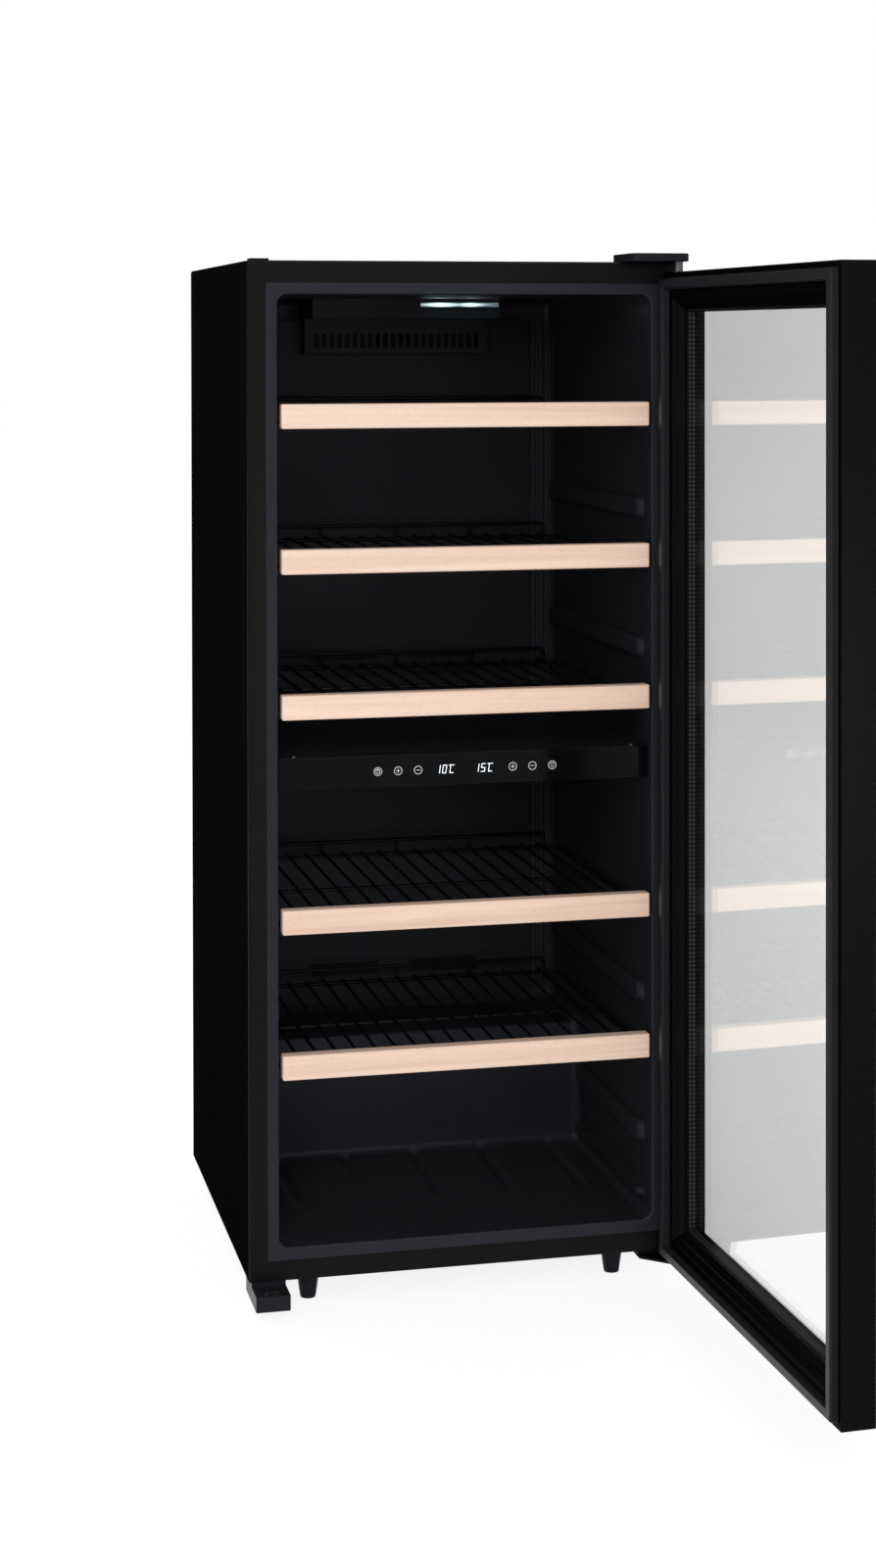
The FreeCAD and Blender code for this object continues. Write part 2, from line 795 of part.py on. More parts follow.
def door_y(depth):
    """Y of a plane that lies depth outwards of the door's inner face."""
    return front - door_gap - depth


def door_slab(inset, near, far):
    return box(-half_width + inset, half_width - inset, door_y(far), door_y(near),
               door_low + inset, door_high - inset)


def door_ring(outer, inner, near, far):
    return door_slab(outer, near, far).cut(door_slab(inner, near, far))


def door_rectangle(inset, depth):
    y = door_y(depth)
    x0, x1 = -half_width + inset, half_width - inset
    z0, z1 = door_low + inset, door_high - inset
    return Part.makePolygon([V(x0, y, z0), V(x1, y, z0), V(x1, y, z1), V(x0, y, z1),
                             V(x0, y, z0)])


def frustum(inset_near, near, inset_far, far):
    return Part.makeLoft([door_rectangle(inset_near, near),
                          door_rectangle(inset_far, far)], True, True)


lock_at = V(free_x + lock_inset, 0, door_low + lock_rise)
handle_x = free_x + handle_inset
handle_mid = (door_low + door_high) / 2
handle_holes = [V(handle_x, door_y(flange_at), handle_mid + s * handle_span / 2)
                for s in (-1, 1)]
catch_slot_y = door_y(cam_depth + cam_thick / 2)

def door_frame():
    core = door_ring(0, frame_core, 0, flange_at)
    face = door_ring(0, frame_band, flange_at, door_thick)
    splay = frustum(frame_band, door_thick - bevel, frame_band - bevel, door_thick)
    frame = core.fuse(face).cut(splay).removeSplitter()
    for end, direction in ((door_low, UP), (door_high, DOWN)):
        seat = V(hinge_x, hinge_y, end)
        frame = frame.cut(hole(seat - direction, direction, bush_length + 1.5,
                               bush_radius))
    for at in handle_holes:
        frame = frame.cut(hole(at + INWARD, OUTWARD, 16, 2.6))
        frame = frame.cut(hole(at + INWARD, OUTWARD, 5, 5.0))
    frame = frame.cut(rod(V(lock_at.x, door_y(cam_depth), lock_at.z),
                          V(lock_at.x, door_y(door_thick), lock_at.z),
                          lock_radius + 0.1))
    pocket = rod(V(lock_at.x, door_y(cam_depth - 1), lock_at.z),
                 V(lock_at.x, door_y(cam_depth + cam_thick + 1.5), lock_at.z),
                 cam_reach + 2)
    room = box(lock_at.x - cam_width / 2 - 2, lock_at.x + cam_reach + 3,
               door_y(door_thick), door_y(0), door_low - 1, door_low + frame_core - 1)
    return frame.cut(pocket.common(room))


def glazing_bead():
    ring = door_slab(frame_core + 0.2, 0, bead_depth)
    return ring.cut(frustum(bead_flat, 0, bead_foot, bead_depth))


def gasket():
    base = door_ring(gasket_inset, gasket_inset + gasket_width, -(gasket_tall - magnet_tall), 0)
    side = (gasket_width - magnet_width) / 2
    magnet = door_ring(gasket_inset + side, gasket_inset + side + magnet_width,
                       -gasket_tall, -(gasket_tall - magnet_tall))
    return base.fuse(magnet).removeSplitter()


def inner_glass():
    return door_slab(pane_inset, inner_pane_at, spacer_at)


def outer_glass():
    return door_slab(pane_inset, outer_pane_at, flange_at)


def glass_spacer():
    """Perforated spacer bar and the butyl seal outside it, bonded to both panes."""
    return door_ring(pane_inset, frame_band, spacer_at, outer_pane_at)


def door_handle():
    y = door_y(door_thick + handle_out)
    bar = rod(V(handle_x, y, handle_mid - handle_length / 2),
              V(handle_x, y, handle_mid + handle_length / 2), handle_radius)
    bar = bar.makeFillet(2.0, [edge for edge in bar.Edges
                               if edge.Curve.TypeId == "Part::GeomCircle"])
    posts = [rod(V(at.x, door_y(door_thick), at.z), V(at.x, y, at.z), standoff_radius)
             for at in handle_holes]
    handle = fuse([bar] + posts)
    for at in handle_holes:
        handle = handle.cut(hole(V(at.x, door_y(door_thick), at.z), OUTWARD, handle_bore, 2.5))
    return handle


def handle_screws():
    length = door_thick - flange_at - handle_seat + handle_bore - 0.3
    return group([screw(at + OUTWARD * handle_seat, OUTWARD, length, 2.5, 4.6)
                  for at in handle_holes])


def lock_body():
    barrel = rod(V(lock_at.x, door_y(cam_depth + cam_thick + 1.5), lock_at.z),
                 V(lock_at.x, door_y(door_thick + 2), lock_at.z), lock_radius)
    bezel = rod(V(lock_at.x, door_y(door_thick), lock_at.z),
                V(lock_at.x, door_y(door_thick + 2), lock_at.z), lock_radius + 2)
    bore = rod(V(lock_at.x, door_y(cam_depth - 1), lock_at.z),
               V(lock_at.x, door_y(door_thick + 3), lock_at.z),
               plug_radius + running_play)
    return barrel.fuse(bezel).cut(bore).removeSplitter()


def lock_plug():
    plug = rod(V(lock_at.x, door_y(cam_depth + cam_thick), lock_at.z),
               V(lock_at.x, door_y(door_thick + 1.6), lock_at.z), plug_radius)
    keyway = box(lock_at.x - 0.8, lock_at.x + 0.8, door_y(door_thick + 2),
                 door_y(door_thick - 12), lock_at.z - 3.6, lock_at.z + 3.6)
    return plug.cut(keyway)


def lock_cam():
    near, far = door_y(cam_depth + cam_thick), door_y(cam_depth)
    half = cam_width / 2
    arm = box(lock_at.x, lock_at.x + cam_reach - half, near, far, lock_at.z - half,
              lock_at.z + half)
    ends = [rod(V(x, near, lock_at.z), V(x, far, lock_at.z), half)
            for x in (lock_at.x, lock_at.x + cam_reach - half)]
    return fuse([arm] + ends)


def door_bushes():
    bushes = []
    for end, direction in ((door_low, UP), (door_high, DOWN)):
        seat = V(hinge_x, hinge_y, end)
        sleeve = Part.makeCylinder(bush_radius, bush_length, seat, direction)
        flange = Part.makeCylinder(bush_flange, washer - 0.1, seat, -direction)
        bore = hole(seat - direction * 3, direction, bush_length + 4,
                    pin_radius + running_play)
        bushes.append(sleeve.fuse(flange).cut(bore).removeSplitter())
    return group(bushes)


# ---------------------------------------------------------------- hinges and catch
def hinge_outline(z, back, width):
    """Plate that tapers from the cabinet's front edge to a round nose about the pin."""
    nose = 11.0
    x0, x1 = half_width - 4 - width, half_width - 4
    tangent = V(hinge_x - nose * 0.55, hinge_y - nose * 0.835, z)
    points = [V(x0, front + back, z), V(x1, front + back, z), V(x1, front - 2, z),
              V(hinge_x + nose * 0.55, hinge_y, z)]
    edges = [Part.LineSegment(a, b).toShape() for a, b in zip(points, points[1:])]
    edges.append(Part.Arc(points[-1], V(hinge_x + 1.5, hinge_y - nose, z),
                          tangent).toShape())
    edges.append(Part.LineSegment(tangent, V(x0, front - 2, z)).toShape())
    edges.append(Part.LineSegment(V(x0, front - 2, z), points[0]).toShape())
    return Part.Face(Part.Wire(edges))


def top_hinge_plate():
    plate = hinge_outline(top, 40, 50).extrude(UP * hinge_plate)
    plate = plate.cut(hole(V(hinge_x, hinge_y, top - 1), UP, 6, pin_radius))
    for at in top_screws:
        plate = plate.cut(hole(at - UP, UP, 6, screw_radius + running_play))
    return plate


def top_hinge_pin():
    shank = rod(V(hinge_x, hinge_y, door_high - bush_length + 2),
                V(hinge_x, hinge_y, top + hinge_plate), pin_radius)
    sleeve = rod(V(hinge_x, hinge_y, door_high + washer), V(hinge_x, hinge_y, top),
                 pin_radius + 2)
    head = rod(V(hinge_x, hinge_y, top + hinge_plate),
               V(hinge_x, hinge_y, top + hinge_plate + 1.5), pin_radius + 1.2)
    return shank.fuse(sleeve).fuse(head).removeSplitter()


def bottom_hinge():
    """Casting under the cabinet: a thick foot with a tongue that carries the lower pin."""
    tongue_high = door_low - washer
    tongue_low = tongue_high - hinge_plate
    tongue = hinge_outline(tongue_low, 40, 50).extrude(UP * hinge_plate)
    foot = box(half_width - 54, half_width - 4, front + 4, front + 40, tongue_low, floor)
    casting = tongue.fuse(foot).removeSplitter()
    casting = casting.cut(hole(V(hinge_x, hinge_y, tongue_low - 1), UP, 8, pin_radius))
    for at in hinge_screws_low:
        casting = casting.cut(hole(at + UP, DOWN, 20))
    return casting


def bottom_hinge_pin():
    return rod(V(hinge_x, hinge_y, door_low - washer - hinge_plate),
               V(hinge_x, hinge_y, door_low + bush_length - 2), pin_radius)


def hinge_fixings():
    screws = [screw(at + UP * hinge_plate, DOWN, 12.0) for at in top_screws]
    under = door_below + washer + hinge_plate
    screws += [screw(at - UP * under, UP, 18.0) for at in hinge_screws_low]
    return screws




def hinge_cover():
    x0, x1 = half_width - 74, half_width + 2
    radius = 12.0
    back = front + 50
    outer = upright_block(x0, x1, hinge_y - 14, back, top, top + cover_tall, radius)
    wall = 2.0
    inner = upright_block(x0 + wall, x1 - wall, hinge_y - 14 + wall, back - wall,
                          top - 1, top + cover_tall - wall, radius - wall)
    return outer.cut(inner)


def blank_cover():
    """Low cap over the unused hinge holes at the other front corner."""
    x0 = -half_width + 4
    return upright_block(x0, x0 + 24, front + 3, front + 27, top, top + 2.5, 4)


def catch_bracket():
    """Block under the free corner: the shut door rests above it and locks into it."""
    low = floor - catch_tall
    ledge = door_low - catch_gap
    foot = box(catch_x0, catch_x0 + catch_width, front + 1, front + catch_back, low, floor)
    nose = upright_block(catch_x0, catch_x0 + catch_width, front - catch_out, front + 6,
                         low, ledge, 2)
    block = foot.fuse(nose).removeSplitter()
    block = block.cut(box(lock_at.x - strike_half_x, lock_at.x + strike_half_x,
                          catch_slot_y - strike_half_y, catch_slot_y + strike_half_y,
                          ledge - catch_pocket, floor))
    for at in catch_screws:
        block = block.cut(hole(at + UP, DOWN, 30))
        block = block.cut(hole(at + DOWN * 8, DOWN, 30, 4.5))
    return block


def strike_plate():
    high = door_low - catch_gap - 0.3
    plate = box(lock_at.x - strike_half_x, lock_at.x + strike_half_x,
                catch_slot_y - strike_half_y, catch_slot_y + strike_half_y,
                high - strike_thick, high)
    slot = box(lock_at.x - strike_slot_x, lock_at.x + strike_slot_x,
               catch_slot_y - strike_slot_y, catch_slot_y + strike_slot_y,
               high - 2 * strike_thick, high + 1)
    return plate.cut(slot)


def catch_fixings():
    return [screw(at + DOWN * 8, UP, 18.0) for at in catch_screws]


def panel_fixings():
    return [screw(at, DOWN, 9.0, screw_radius, 3.2) for at in divider_screws]


def back_fixings():
    return [screw(at, OUTWARD, 10.0) for at in back_screws]


# ---------------------------------------------------------------- cooling circuit
compressor_y = (bay_front + sheet + rear - 2 * sheet) / 2


def compressor():
    low = floor + base_sheet
    pan = upright_block(compressor_x - 72, compressor_x + 72, compressor_y - 46,
                        compressor_y + 46, low + 14, low + 17, 14)
    body = Part.makeCylinder(1, 1)
    dome = Part.makeSphere(1)
    stretch = FreeCAD.Matrix()
    stretch.scale(66, 48, 62)
    body = body.transformGeometry(stretch)
    body.translate(V(compressor_x, compressor_y, low + 17))
    cap = FreeCAD.Matrix()
    cap.scale(66, 48, 34)
    dome = dome.transformGeometry(cap)
    dome.translate(V(compressor_x, compressor_y, low + 79))
    dome = dome.common(box(compressor_x - 80, compressor_x + 80, compressor_y - 60,
                           compressor_y + 60, low + 79, low + 140))
    cushions = [rod(V(compressor_x + sx * 58, compressor_y + sy * 34, low),
                    V(compressor_x + sx * 58, compressor_y + sy * 34, low + 14.5), 8)
                for sx in (-1, 1) for sy in (-1, 1)]
    return fuse([pan, body, dome] + cushions)


def drip_tray():
    x0, x1 = 20.0, 190.0
    low = floor + base_sheet + 20
    outer = box(x0, x1, bay_front + 20, rear - 30, low, low + 30)
    inner = box(x0 + 2, x1 - 2, bay_front + 22, rear - 32, low + 2, low + 31)
    legs = [box(x, x + 8, bay_front + 24, bay_front + 32, floor + base_sheet, low)
            for x in (x0 + 4, x1 - 12)]
    legs += [box(x, x + 8, rear - 44, rear - 36, floor + base_sheet, low)
             for x in (x0 + 4, x1 - 12)]
    return outer.cut(inner).multiFuse(legs).removeSplitter()


condenser_half = half_width - 45
condenser_low = bay_top + 60


def condenser_coil():
    """Serpentine of straight runs joined by half circles, swept along one wire."""
    y = rear + condenser_off
    turn = condenser_pitch / 2
    half = condenser_half - turn
    edges = []
    for i in range(condenser_runs):
        z = condenser_low + i * condenser_pitch
        side = 1 if i % 2 == 0 else -1
        start, end = V(-side * half, y, z), V(side * half, y, z)
        edges.append(Part.LineSegment(start, end).toShape())
        if i < condenser_runs - 1:
            over = V(side * half, y, z + condenser_pitch)
            edges.append(Part.Arc(end, V(side * (half + turn), y, z + turn),
                                  over).toShape())
    path = Part.Wire(edges)
    start = path.OrderedVertexes[0].Point
    ring = Part.Wire([Part.makeCircle(2.5, start, V(1, 0, 0))])
    return path.makePipeShell([ring], True, False)


def condenser_wires():
    near = rear + condenser_off - 2.5 - 0.9
    low = condenser_low - 14
    high = condenser_low + (condenser_runs - 1) * condenser_pitch + 14
    wires = []
    count = 25
    for i in range(count):
        x = (i - (count - 1) / 2) * 16.0
        wires.append(rod(V(x, near, low), V(x, near, high), 0.9))
    return wires


def condenser_brackets():
    brackets = []
    for side in (-1, 1):
        for i in (1, condenser_runs - 3):
            x = side * 150
            z = condenser_low + i * condenser_pitch
            clip = box(x - 6, x + 6, rear - sheet, rear + condenser_off - 2.5 - 1.8,
                       z - 12, z + 12)
            brackets.append(clip)
    return brackets


# ---------------------------------------------------------------- the nodes
parts["outer_shell"] = outer_shell()
parts["back_panel"] = back_panel()
parts["bay_grille"] = bay_grille()
parts["mains_inlet"] = mains_inlet()
parts["base_plate"] = base_plate()
for foot_name, foot_place in foot_places.items():
    parts["foot_" + foot_name] = levelling_foot(foot_place)
parts["inner_liner"] = inner_liner()
parts["machine_room"] = machine_room()
parts["insulation"] = insulation()
for zone_name in ("upper", "lower"):
    parts[zone_name + "_air_panel"] = rear_air_panel(zone_name)
    parts[zone_name + "_evaporator"] = evaporator(zone_name)
    parts[zone_name + "_fan_frame"] = fan_frame(zone_name)
    parts[zone_name + "_fan"] = fan_rotor(zone_name)
parts["ceiling_cover"] = ceiling_cover()
parts["lamp_lens"] = lamp_lens()
parts["lamp_board"] = lamp_board()
parts["divider"] = divider()
parts["control_housing"] = control_housing()
parts["control_glass"] = control_glass()
parts["control_board"] = control_board()
for number, shelf_top in enumerate(shelf_tops, start=1):
    parts["shelf_%d_deck" % number] = shelf_deck(shelf_top)
    parts["shelf_%d_front" % number] = shelf_front(shelf_top)
parts["door_frame"] = swing_open(door_frame())
parts["glazing_bead"] = swing_open(glazing_bead())
parts["door_gasket"] = swing_open(gasket())
parts["inner_glass"] = swing_open(inner_glass())
parts["outer_glass"] = swing_open(outer_glass())
parts["glass_spacer"] = swing_open(glass_spacer())
parts["door_handle"] = swing_open(door_handle())
parts["handle_screws"] = swing_open(handle_screws())
parts["lock_body"] = swing_open(lock_body())
parts["lock_plug"] = swing_open(lock_plug())
parts["lock_cam"] = swing_open(lock_cam())
parts["door_bushes"] = swing_open(door_bushes())
parts["top_hinge_plate"] = top_hinge_plate()
parts["hinge_pins"] = group([top_hinge_pin(), bottom_hinge_pin()])
parts["bottom_hinge"] = bottom_hinge()
parts["hinge_cover"] = hinge_cover()
parts["blank_cover"] = blank_cover()
parts["catch_bracket"] = catch_bracket()
parts["strike_plate"] = strike_plate()
parts["cabinet_screws"] = group(hinge_fixings() + catch_fixings() + panel_fixings()
                                + back_fixings())
parts["compressor"] = compressor()
parts["drip_tray"] = drip_tray()
parts["condenser"] = group([condenser_coil()] + condenser_wires() + condenser_brackets())

os.makedirs("parts", exist_ok=True)
for name, shape in parts.items():
    shape.exportStep("parts/%s.step" % name)
    print(name, "solids", len(shape.Solids), "valid", shape.isValid(),
          "litres %.4f" % (shape.Volume / 1e6))
print(len(parts), "nodes")
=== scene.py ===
"""A two-zone wine cooler with its glass door standing open, on a pale studio floor."""
import bmesh
import bpy
import json
import math
from mathutils import Matrix, Vector


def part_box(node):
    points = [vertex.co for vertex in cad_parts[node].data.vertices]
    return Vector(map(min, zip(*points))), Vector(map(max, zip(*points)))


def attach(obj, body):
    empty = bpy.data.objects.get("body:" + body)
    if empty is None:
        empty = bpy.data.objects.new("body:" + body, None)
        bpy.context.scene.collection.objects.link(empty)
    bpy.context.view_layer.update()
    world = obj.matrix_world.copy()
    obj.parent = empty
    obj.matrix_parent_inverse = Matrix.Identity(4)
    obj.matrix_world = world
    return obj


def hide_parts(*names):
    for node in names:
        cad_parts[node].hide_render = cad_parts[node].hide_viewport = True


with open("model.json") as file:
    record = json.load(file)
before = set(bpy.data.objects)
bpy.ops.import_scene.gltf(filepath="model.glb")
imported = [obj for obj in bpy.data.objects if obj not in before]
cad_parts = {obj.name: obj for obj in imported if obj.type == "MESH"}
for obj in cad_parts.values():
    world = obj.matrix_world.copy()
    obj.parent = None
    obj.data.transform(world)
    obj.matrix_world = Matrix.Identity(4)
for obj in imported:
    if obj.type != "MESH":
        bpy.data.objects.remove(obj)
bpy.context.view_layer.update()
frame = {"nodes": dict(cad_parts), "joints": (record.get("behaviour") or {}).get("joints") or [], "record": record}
nodes = frame["nodes"]


# ---- Studio: a white paper floor, a white sky that is dimmer in reflections, and soft
# boxes in front, beside and behind. The camera stands to the left of the cabinet, a little
# above the top shelf, with its lens shifted down to keep uprights nearly upright.
PAPER_TONES = ((0.19, 0.19, 0.19, 1), (0.21, 0.21, 0.21, 1))
PAPER_GLOW = 0.86
FLOOR_REACH = 30
SKY_SEEN = 1.0
SKY_SCATTERED = 0.7
CAMERA_PLACE = (-0.7511, -3.3825, 1.1732)
CAMERA_NOD = -0.0129
CAMERA_LEAN = 0.0016
CAMERA_TURN = -0.2247


class Shade:
    """A socket of a node tree: sums on it add Math nodes, and node() adds any other."""

    def __init__(self, tree, socket):
        self.tree = tree
        self.socket = socket

    def node(self, kind, settings=(), sockets=(), out=0):
        made = self.tree.nodes.new("ShaderNode" + kind)
        for name, value in dict(settings).items():
            setattr(made, name, value)
        for name, value in dict(sockets).items():
            if isinstance(value, Shade):
                self.tree.links.new(value.socket, made.inputs[name])
            else:
                made.inputs[name].default_value = value
        return Shade(self.tree, made.outputs[out])

    def sum(self, operation, *values):
        return self.node("Math", {"operation": operation}, dict(enumerate(values)))

    def __add__(self, other):
        return self.sum("ADD", self, other)

    def __sub__(self, other):
        return self.sum("SUBTRACT", self, other)

    def __rsub__(self, other):
        return self.sum("SUBTRACT", other, self)

    def __mul__(self, other):
        return self.sum("MULTIPLY", self, other)

    def __truediv__(self, other):
        return self.sum("DIVIDE", self, other)

    def __pow__(self, other):
        return self.sum("POWER", self, other)

    def __abs__(self):
        return self.sum("ABSOLUTE", self)

    def __lt__(self, other):
        return self.sum("LESS_THAN", self, other)

    def __gt__(self, other):
        return self.sum("GREATER_THAN", self, other)

    __radd__ = __add__
    __rmul__ = __mul__


def start_finish(name):
    """A fresh material and its Object coordinates."""
    material = bpy.data.materials.new(name)
    material.use_nodes = True
    material.node_tree.nodes.clear()
    place = material.node_tree.nodes.new("ShaderNodeTexCoord").outputs["Object"]
    return material, Shade(material.node_tree, place)


def end_finish(material, shader):
    output = material.node_tree.nodes.new("ShaderNodeOutputMaterial")
    material.node_tree.links.new(shader.socket, output.inputs["Surface"])
    return material


def blend_colours(factor, one, other):
    return factor.node("Mix", {"data_type": "RGBA"}, {0: factor, 6: one, 7: other}, out=2)


def paper():
    material, place = start_finish("studio_paper")
    tooth = place.node("TexNoise", (), {"Vector": place, "Scale": 40.0})
    colour = blend_colours(tooth, *PAPER_TONES)
    return end_finish(material, place.node("BsdfPrincipled", (), {
        "Base Color": colour, "Roughness": 0.9, "Specular IOR Level": 0.0,
        "Emission Color": (1, 1, 1, 1), "Emission Strength": PAPER_GLOW}))


floor_mesh = bpy.data.meshes.new("studio_floor")
floor_form = bmesh.new()
bmesh.ops.create_grid(floor_form, x_segments=1, y_segments=1, size=FLOOR_REACH)
floor_form.to_mesh(floor_mesh)
floor_form.free()
studio_floor = bpy.data.objects.new("studio_floor", floor_mesh)
floor_mesh.materials.append(paper())
bpy.context.scene.collection.objects.link(studio_floor)
studio_floor.visible_glossy = False

sky = bpy.data.worlds.new("studio_sky")
sky.use_nodes = True
sky.node_tree.nodes.clear()
sky.cycles.sampling_method = "NONE"
bpy.context.scene.world = sky
ray = sky.node_tree.nodes.new("ShaderNodeLightPath").outputs
seen = Shade(sky.node_tree, ray["Is Camera Ray"])
scattered = Shade(sky.node_tree, ray["Is Diffuse Ray"])
mirrored = Shade(sky.node_tree, ray["Is Glossy Ray"])
way = Shade(sky.node_tree, sky.node_tree.nodes.new("ShaderNodeTexCoord").outputs["Generated"])


def graded(value, start, end, low, high):
    """A smooth slope from low, where the value is start, to high, where it is end."""
    return value.node("MapRange", {"interpolation_type": "SMOOTHSTEP"}, {
        "Value": value, "From Min": start, "From Max": end, "To Min": low, "To Max": high})


rearward = way.node("SeparateXYZ", (), {0: way}, out=1)
upward = way.node("SeparateXYZ", (), {0: way}, out=2)
front_card = graded(rearward, 0.6, -0.7, 0.015, 0.2)
rear_floor = graded(rearward, 0.2, 0.6, 0.0, 1.0) * graded(upward, 0.0, -0.08, 0.0, 0.9)
overhead = graded(upward, 0.35, 0.9, 0.0, 0.4)
cards = front_card + rear_floor + overhead
light = seen * SKY_SEEN + scattered * SKY_SCATTERED + mirrored * cards
backdrop = light.node("Background", (), {"Color": (1, 1, 1, 1), "Strength": light})
sky_output = sky.node_tree.nodes.new("ShaderNodeOutputWorld")
sky.node_tree.links.new(backdrop.socket, sky_output.inputs["Surface"])


def soft_box(name, place, aim, size, power, colour=(1, 1, 1), shine=True):
    """A square-cornered lamp turned to its aim; without shine, nothing mirrors it."""
    lamp = bpy.data.lights.new(name, "AREA")
    lamp.shape = "RECTANGLE"
    lamp.size, lamp.size_y = size
    lamp.energy = power
    lamp.color = colour
    holder = bpy.data.objects.new(name, lamp)
    holder.location = place
    holder.visible_glossy = shine
    holder.rotation_euler = (Vector(aim) - Vector(place)).to_track_quat("-Z", "Y").to_euler()
    bpy.context.scene.collection.objects.link(holder)


soft_box("key_light", (-1.7, -6.9, 3.0), (0, -0.2, 0.7), (2.4, 2.6), 215, shine=False)
soft_box("edge_light", (-2.0, -3.2, 2.7), (0, -0.2, 0.6), (0.5, 1.4), 9)
soft_box("strip_light", (0.95, -2.9, 0.5), (0, 0.0, 0.2), (0.3, 0.4), 1.2)
soft_box("rim_light", (2.8, 2.4, 2.6), (0, 0.2, 0.8), (1.4, 2.4), 60, shine=False)
soft_box("back_light", (-2.2, 3.0, 2.2), (0, 0.2, 0.7), (1.6, 2.0), 45, shine=False)

camera = bpy.data.cameras.new("camera")
camera.lens = 60.23
camera.shift_y = -0.2614
viewer = bpy.data.objects.new("camera", camera)
viewer.location = CAMERA_PLACE
viewer.rotation_euler = (math.pi / 2 + CAMERA_NOD, CAMERA_LEAN, CAMERA_TURN)
bpy.context.scene.collection.objects.link(viewer)
bpy.context.scene.camera = viewer
bpy.context.scene.view_settings.view_transform = "Standard"


# ---- Cabinet shell: one steel sheet folded over the top and down both sides, with a
# narrow return at the front and back, and baked satin black. Its corners are pressed to
# a small radius, and the powder leaves a faint orange peel.
FADE_CURVE = 2.2


def satin_black(name, tone, roughness, gloss, peel=0.12, fade=1.45):
    """Black paint; seen along the surface the fine texture hides its gloss, if it fades."""
    material, place = start_finish(name)
    cloud = place.node("TexNoise", (), {"Vector": place, "Scale": 5.0, "Detail": 5.0})
    wiped = place.node("TexNoise", (), {"Vector": place, "Scale": 28.0, "Detail": 3.0,
                                        "Distortion": 1.2})
    grain = place.node("TexNoise", (), {"Vector": place, "Scale": 620.0, "Detail": 2.0})
    bump = grain.node("Bump", (), {"Height": grain, "Strength": peel, "Distance": 0.0004})
    colour = blend_colours(cloud, (tone, tone, tone * 1.1, 1),
                           (tone * 1.5, tone * 1.5, tone * 1.75, 1))
    glossy = place.node("BsdfPrincipled", (), {
        "Base Color": colour, "Roughness": wiped * 0.12 + (roughness - 0.06),
        "Specular IOR Level": gloss, "Normal": bump})
    if not fade:
        return end_finish(material, glossy)
    matt = place.node("BsdfPrincipled", (), {
        "Base Color": colour, "Roughness": 0.9, "Specular IOR Level": 0.0, "Normal": bump})
    slant = place.node("LayerWeight", (), {"Blend": 0.5}, out="Facing")
    hidden = place.node("Clamp", (), {"Value": slant ** FADE_CURVE * fade})
    return end_finish(material, hidden.node("MixShader", (), {0: hidden, 1: glossy, 2: matt}))


def block(low, high):
    """A bmesh box between two corners."""
    form = bmesh.new()
    bmesh.ops.create_cube(form, size=1)
    bmesh.ops.scale(form, vec=Vector(high) - Vector(low), verts=form.verts)
    bmesh.ops.translate(form, vec=(Vector(low) + Vector(high)) / 2, verts=form.verts)
    return form


def round_edges(form, edges, radius, segments=3):
    bmesh.ops.bevel(form, geom=edges, offset=radius, segments=segments, profile=0.5,
                    affect="EDGES", clamp_overlap=True, material=-1)


def cut(form, point, across, faces=None):
    """Split faces along a plane, and keep both sides."""
    chosen = list(form.faces) if faces is None else faces
    edges = list({edge for face in chosen for edge in face.edges})
    verts = list({vert for face in chosen for vert in face.verts})
    bmesh.ops.bisect_plane(form, geom=chosen + edges + verts, plane_co=point,
                           plane_no=across, dist=1e-6)


def finished(name, form, body, finish, sharp=35):
    """The shape as an object that rides on its body, smooth between its crisp edges."""
    mesh = bpy.data.meshes.new(name)
    form.to_mesh(mesh)
    form.free()
    mesh.shade_smooth()
    mesh.set_sharp_from_angle(angle=math.radians(sharp))
    mesh.materials.append(finish)
    piece = bpy.data.objects.new(name, mesh)
    bpy.context.scene.collection.objects.link(piece)
    even = piece.modifiers.new("even_shading", "WEIGHTED_NORMAL")
    even.keep_sharp = True
    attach(piece, body)
    return piece


def give_wall(piece, thickness):
    """A wall on the far side of the surface, made before the shading is evened out."""
    wall = piece.modifiers.new("wall", "SOLIDIFY")
    wall.thickness = thickness
    wall.offset = -1
    piece.modifiers.move(len(piece.modifiers) - 1, 0)


shell_low, shell_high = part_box("outer_shell")
SHELL_RETURN = 0.023
SHELL_TOP_RETURN = 0.027
SHELL_REAR_RETURN = 0.014
SHELL_CORNER = 0.003
SHELL_SHEET = 0.0012

shell_paint = satin_black("shell_paint", 0.0022, 0.38, 0.4)
shell = block(shell_low, shell_high)
bottom = [face for face in shell.faces if face.normal.z < -0.9]
bmesh.ops.delete(shell, geom=bottom, context="FACES_ONLY")
folds = [edge for edge in shell.edges if len(edge.link_faces) == 2]
round_edges(shell, folds, SHELL_CORNER, 4)
for facing, side_margin, top_margin in ((-1, SHELL_RETURN, SHELL_TOP_RETURN),
                                        (1, SHELL_REAR_RETURN, SHELL_REAR_RETURN)):
    edge_x = shell_high.x - side_margin
    edge_z = shell_high.z - top_margin
    for point, across in (((-edge_x, 0, 0), (1, 0, 0)), ((edge_x, 0, 0), (1, 0, 0)),
                          ((0, 0, edge_z), (0, 0, 1))):
        cut(shell, point, across,
            [face for face in shell.faces if face.normal.y * facing > 0.99])
    opening = [face for face in shell.faces if face.normal.y * facing > 0.99
               and abs(face.calc_center_median().x) < edge_x
               and face.calc_center_median().z < edge_z]
    bmesh.ops.delete(shell, geom=opening, context="FACES")
cabinet_shell = finished("cabinet_shell", shell, "cabinet", shell_paint,
                         sharp=50)
give_wall(cabinet_shell, SHELL_SHEET)
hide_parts("outer_shell")


# ---- Back, base, machine room and foam: plain pressed sheet round poured foam. The back,
# its louvred grille and the base are painted like the shell, and the sheet of the machine
# room stays zinc bright.
SHEET_EDGE = 0.0004


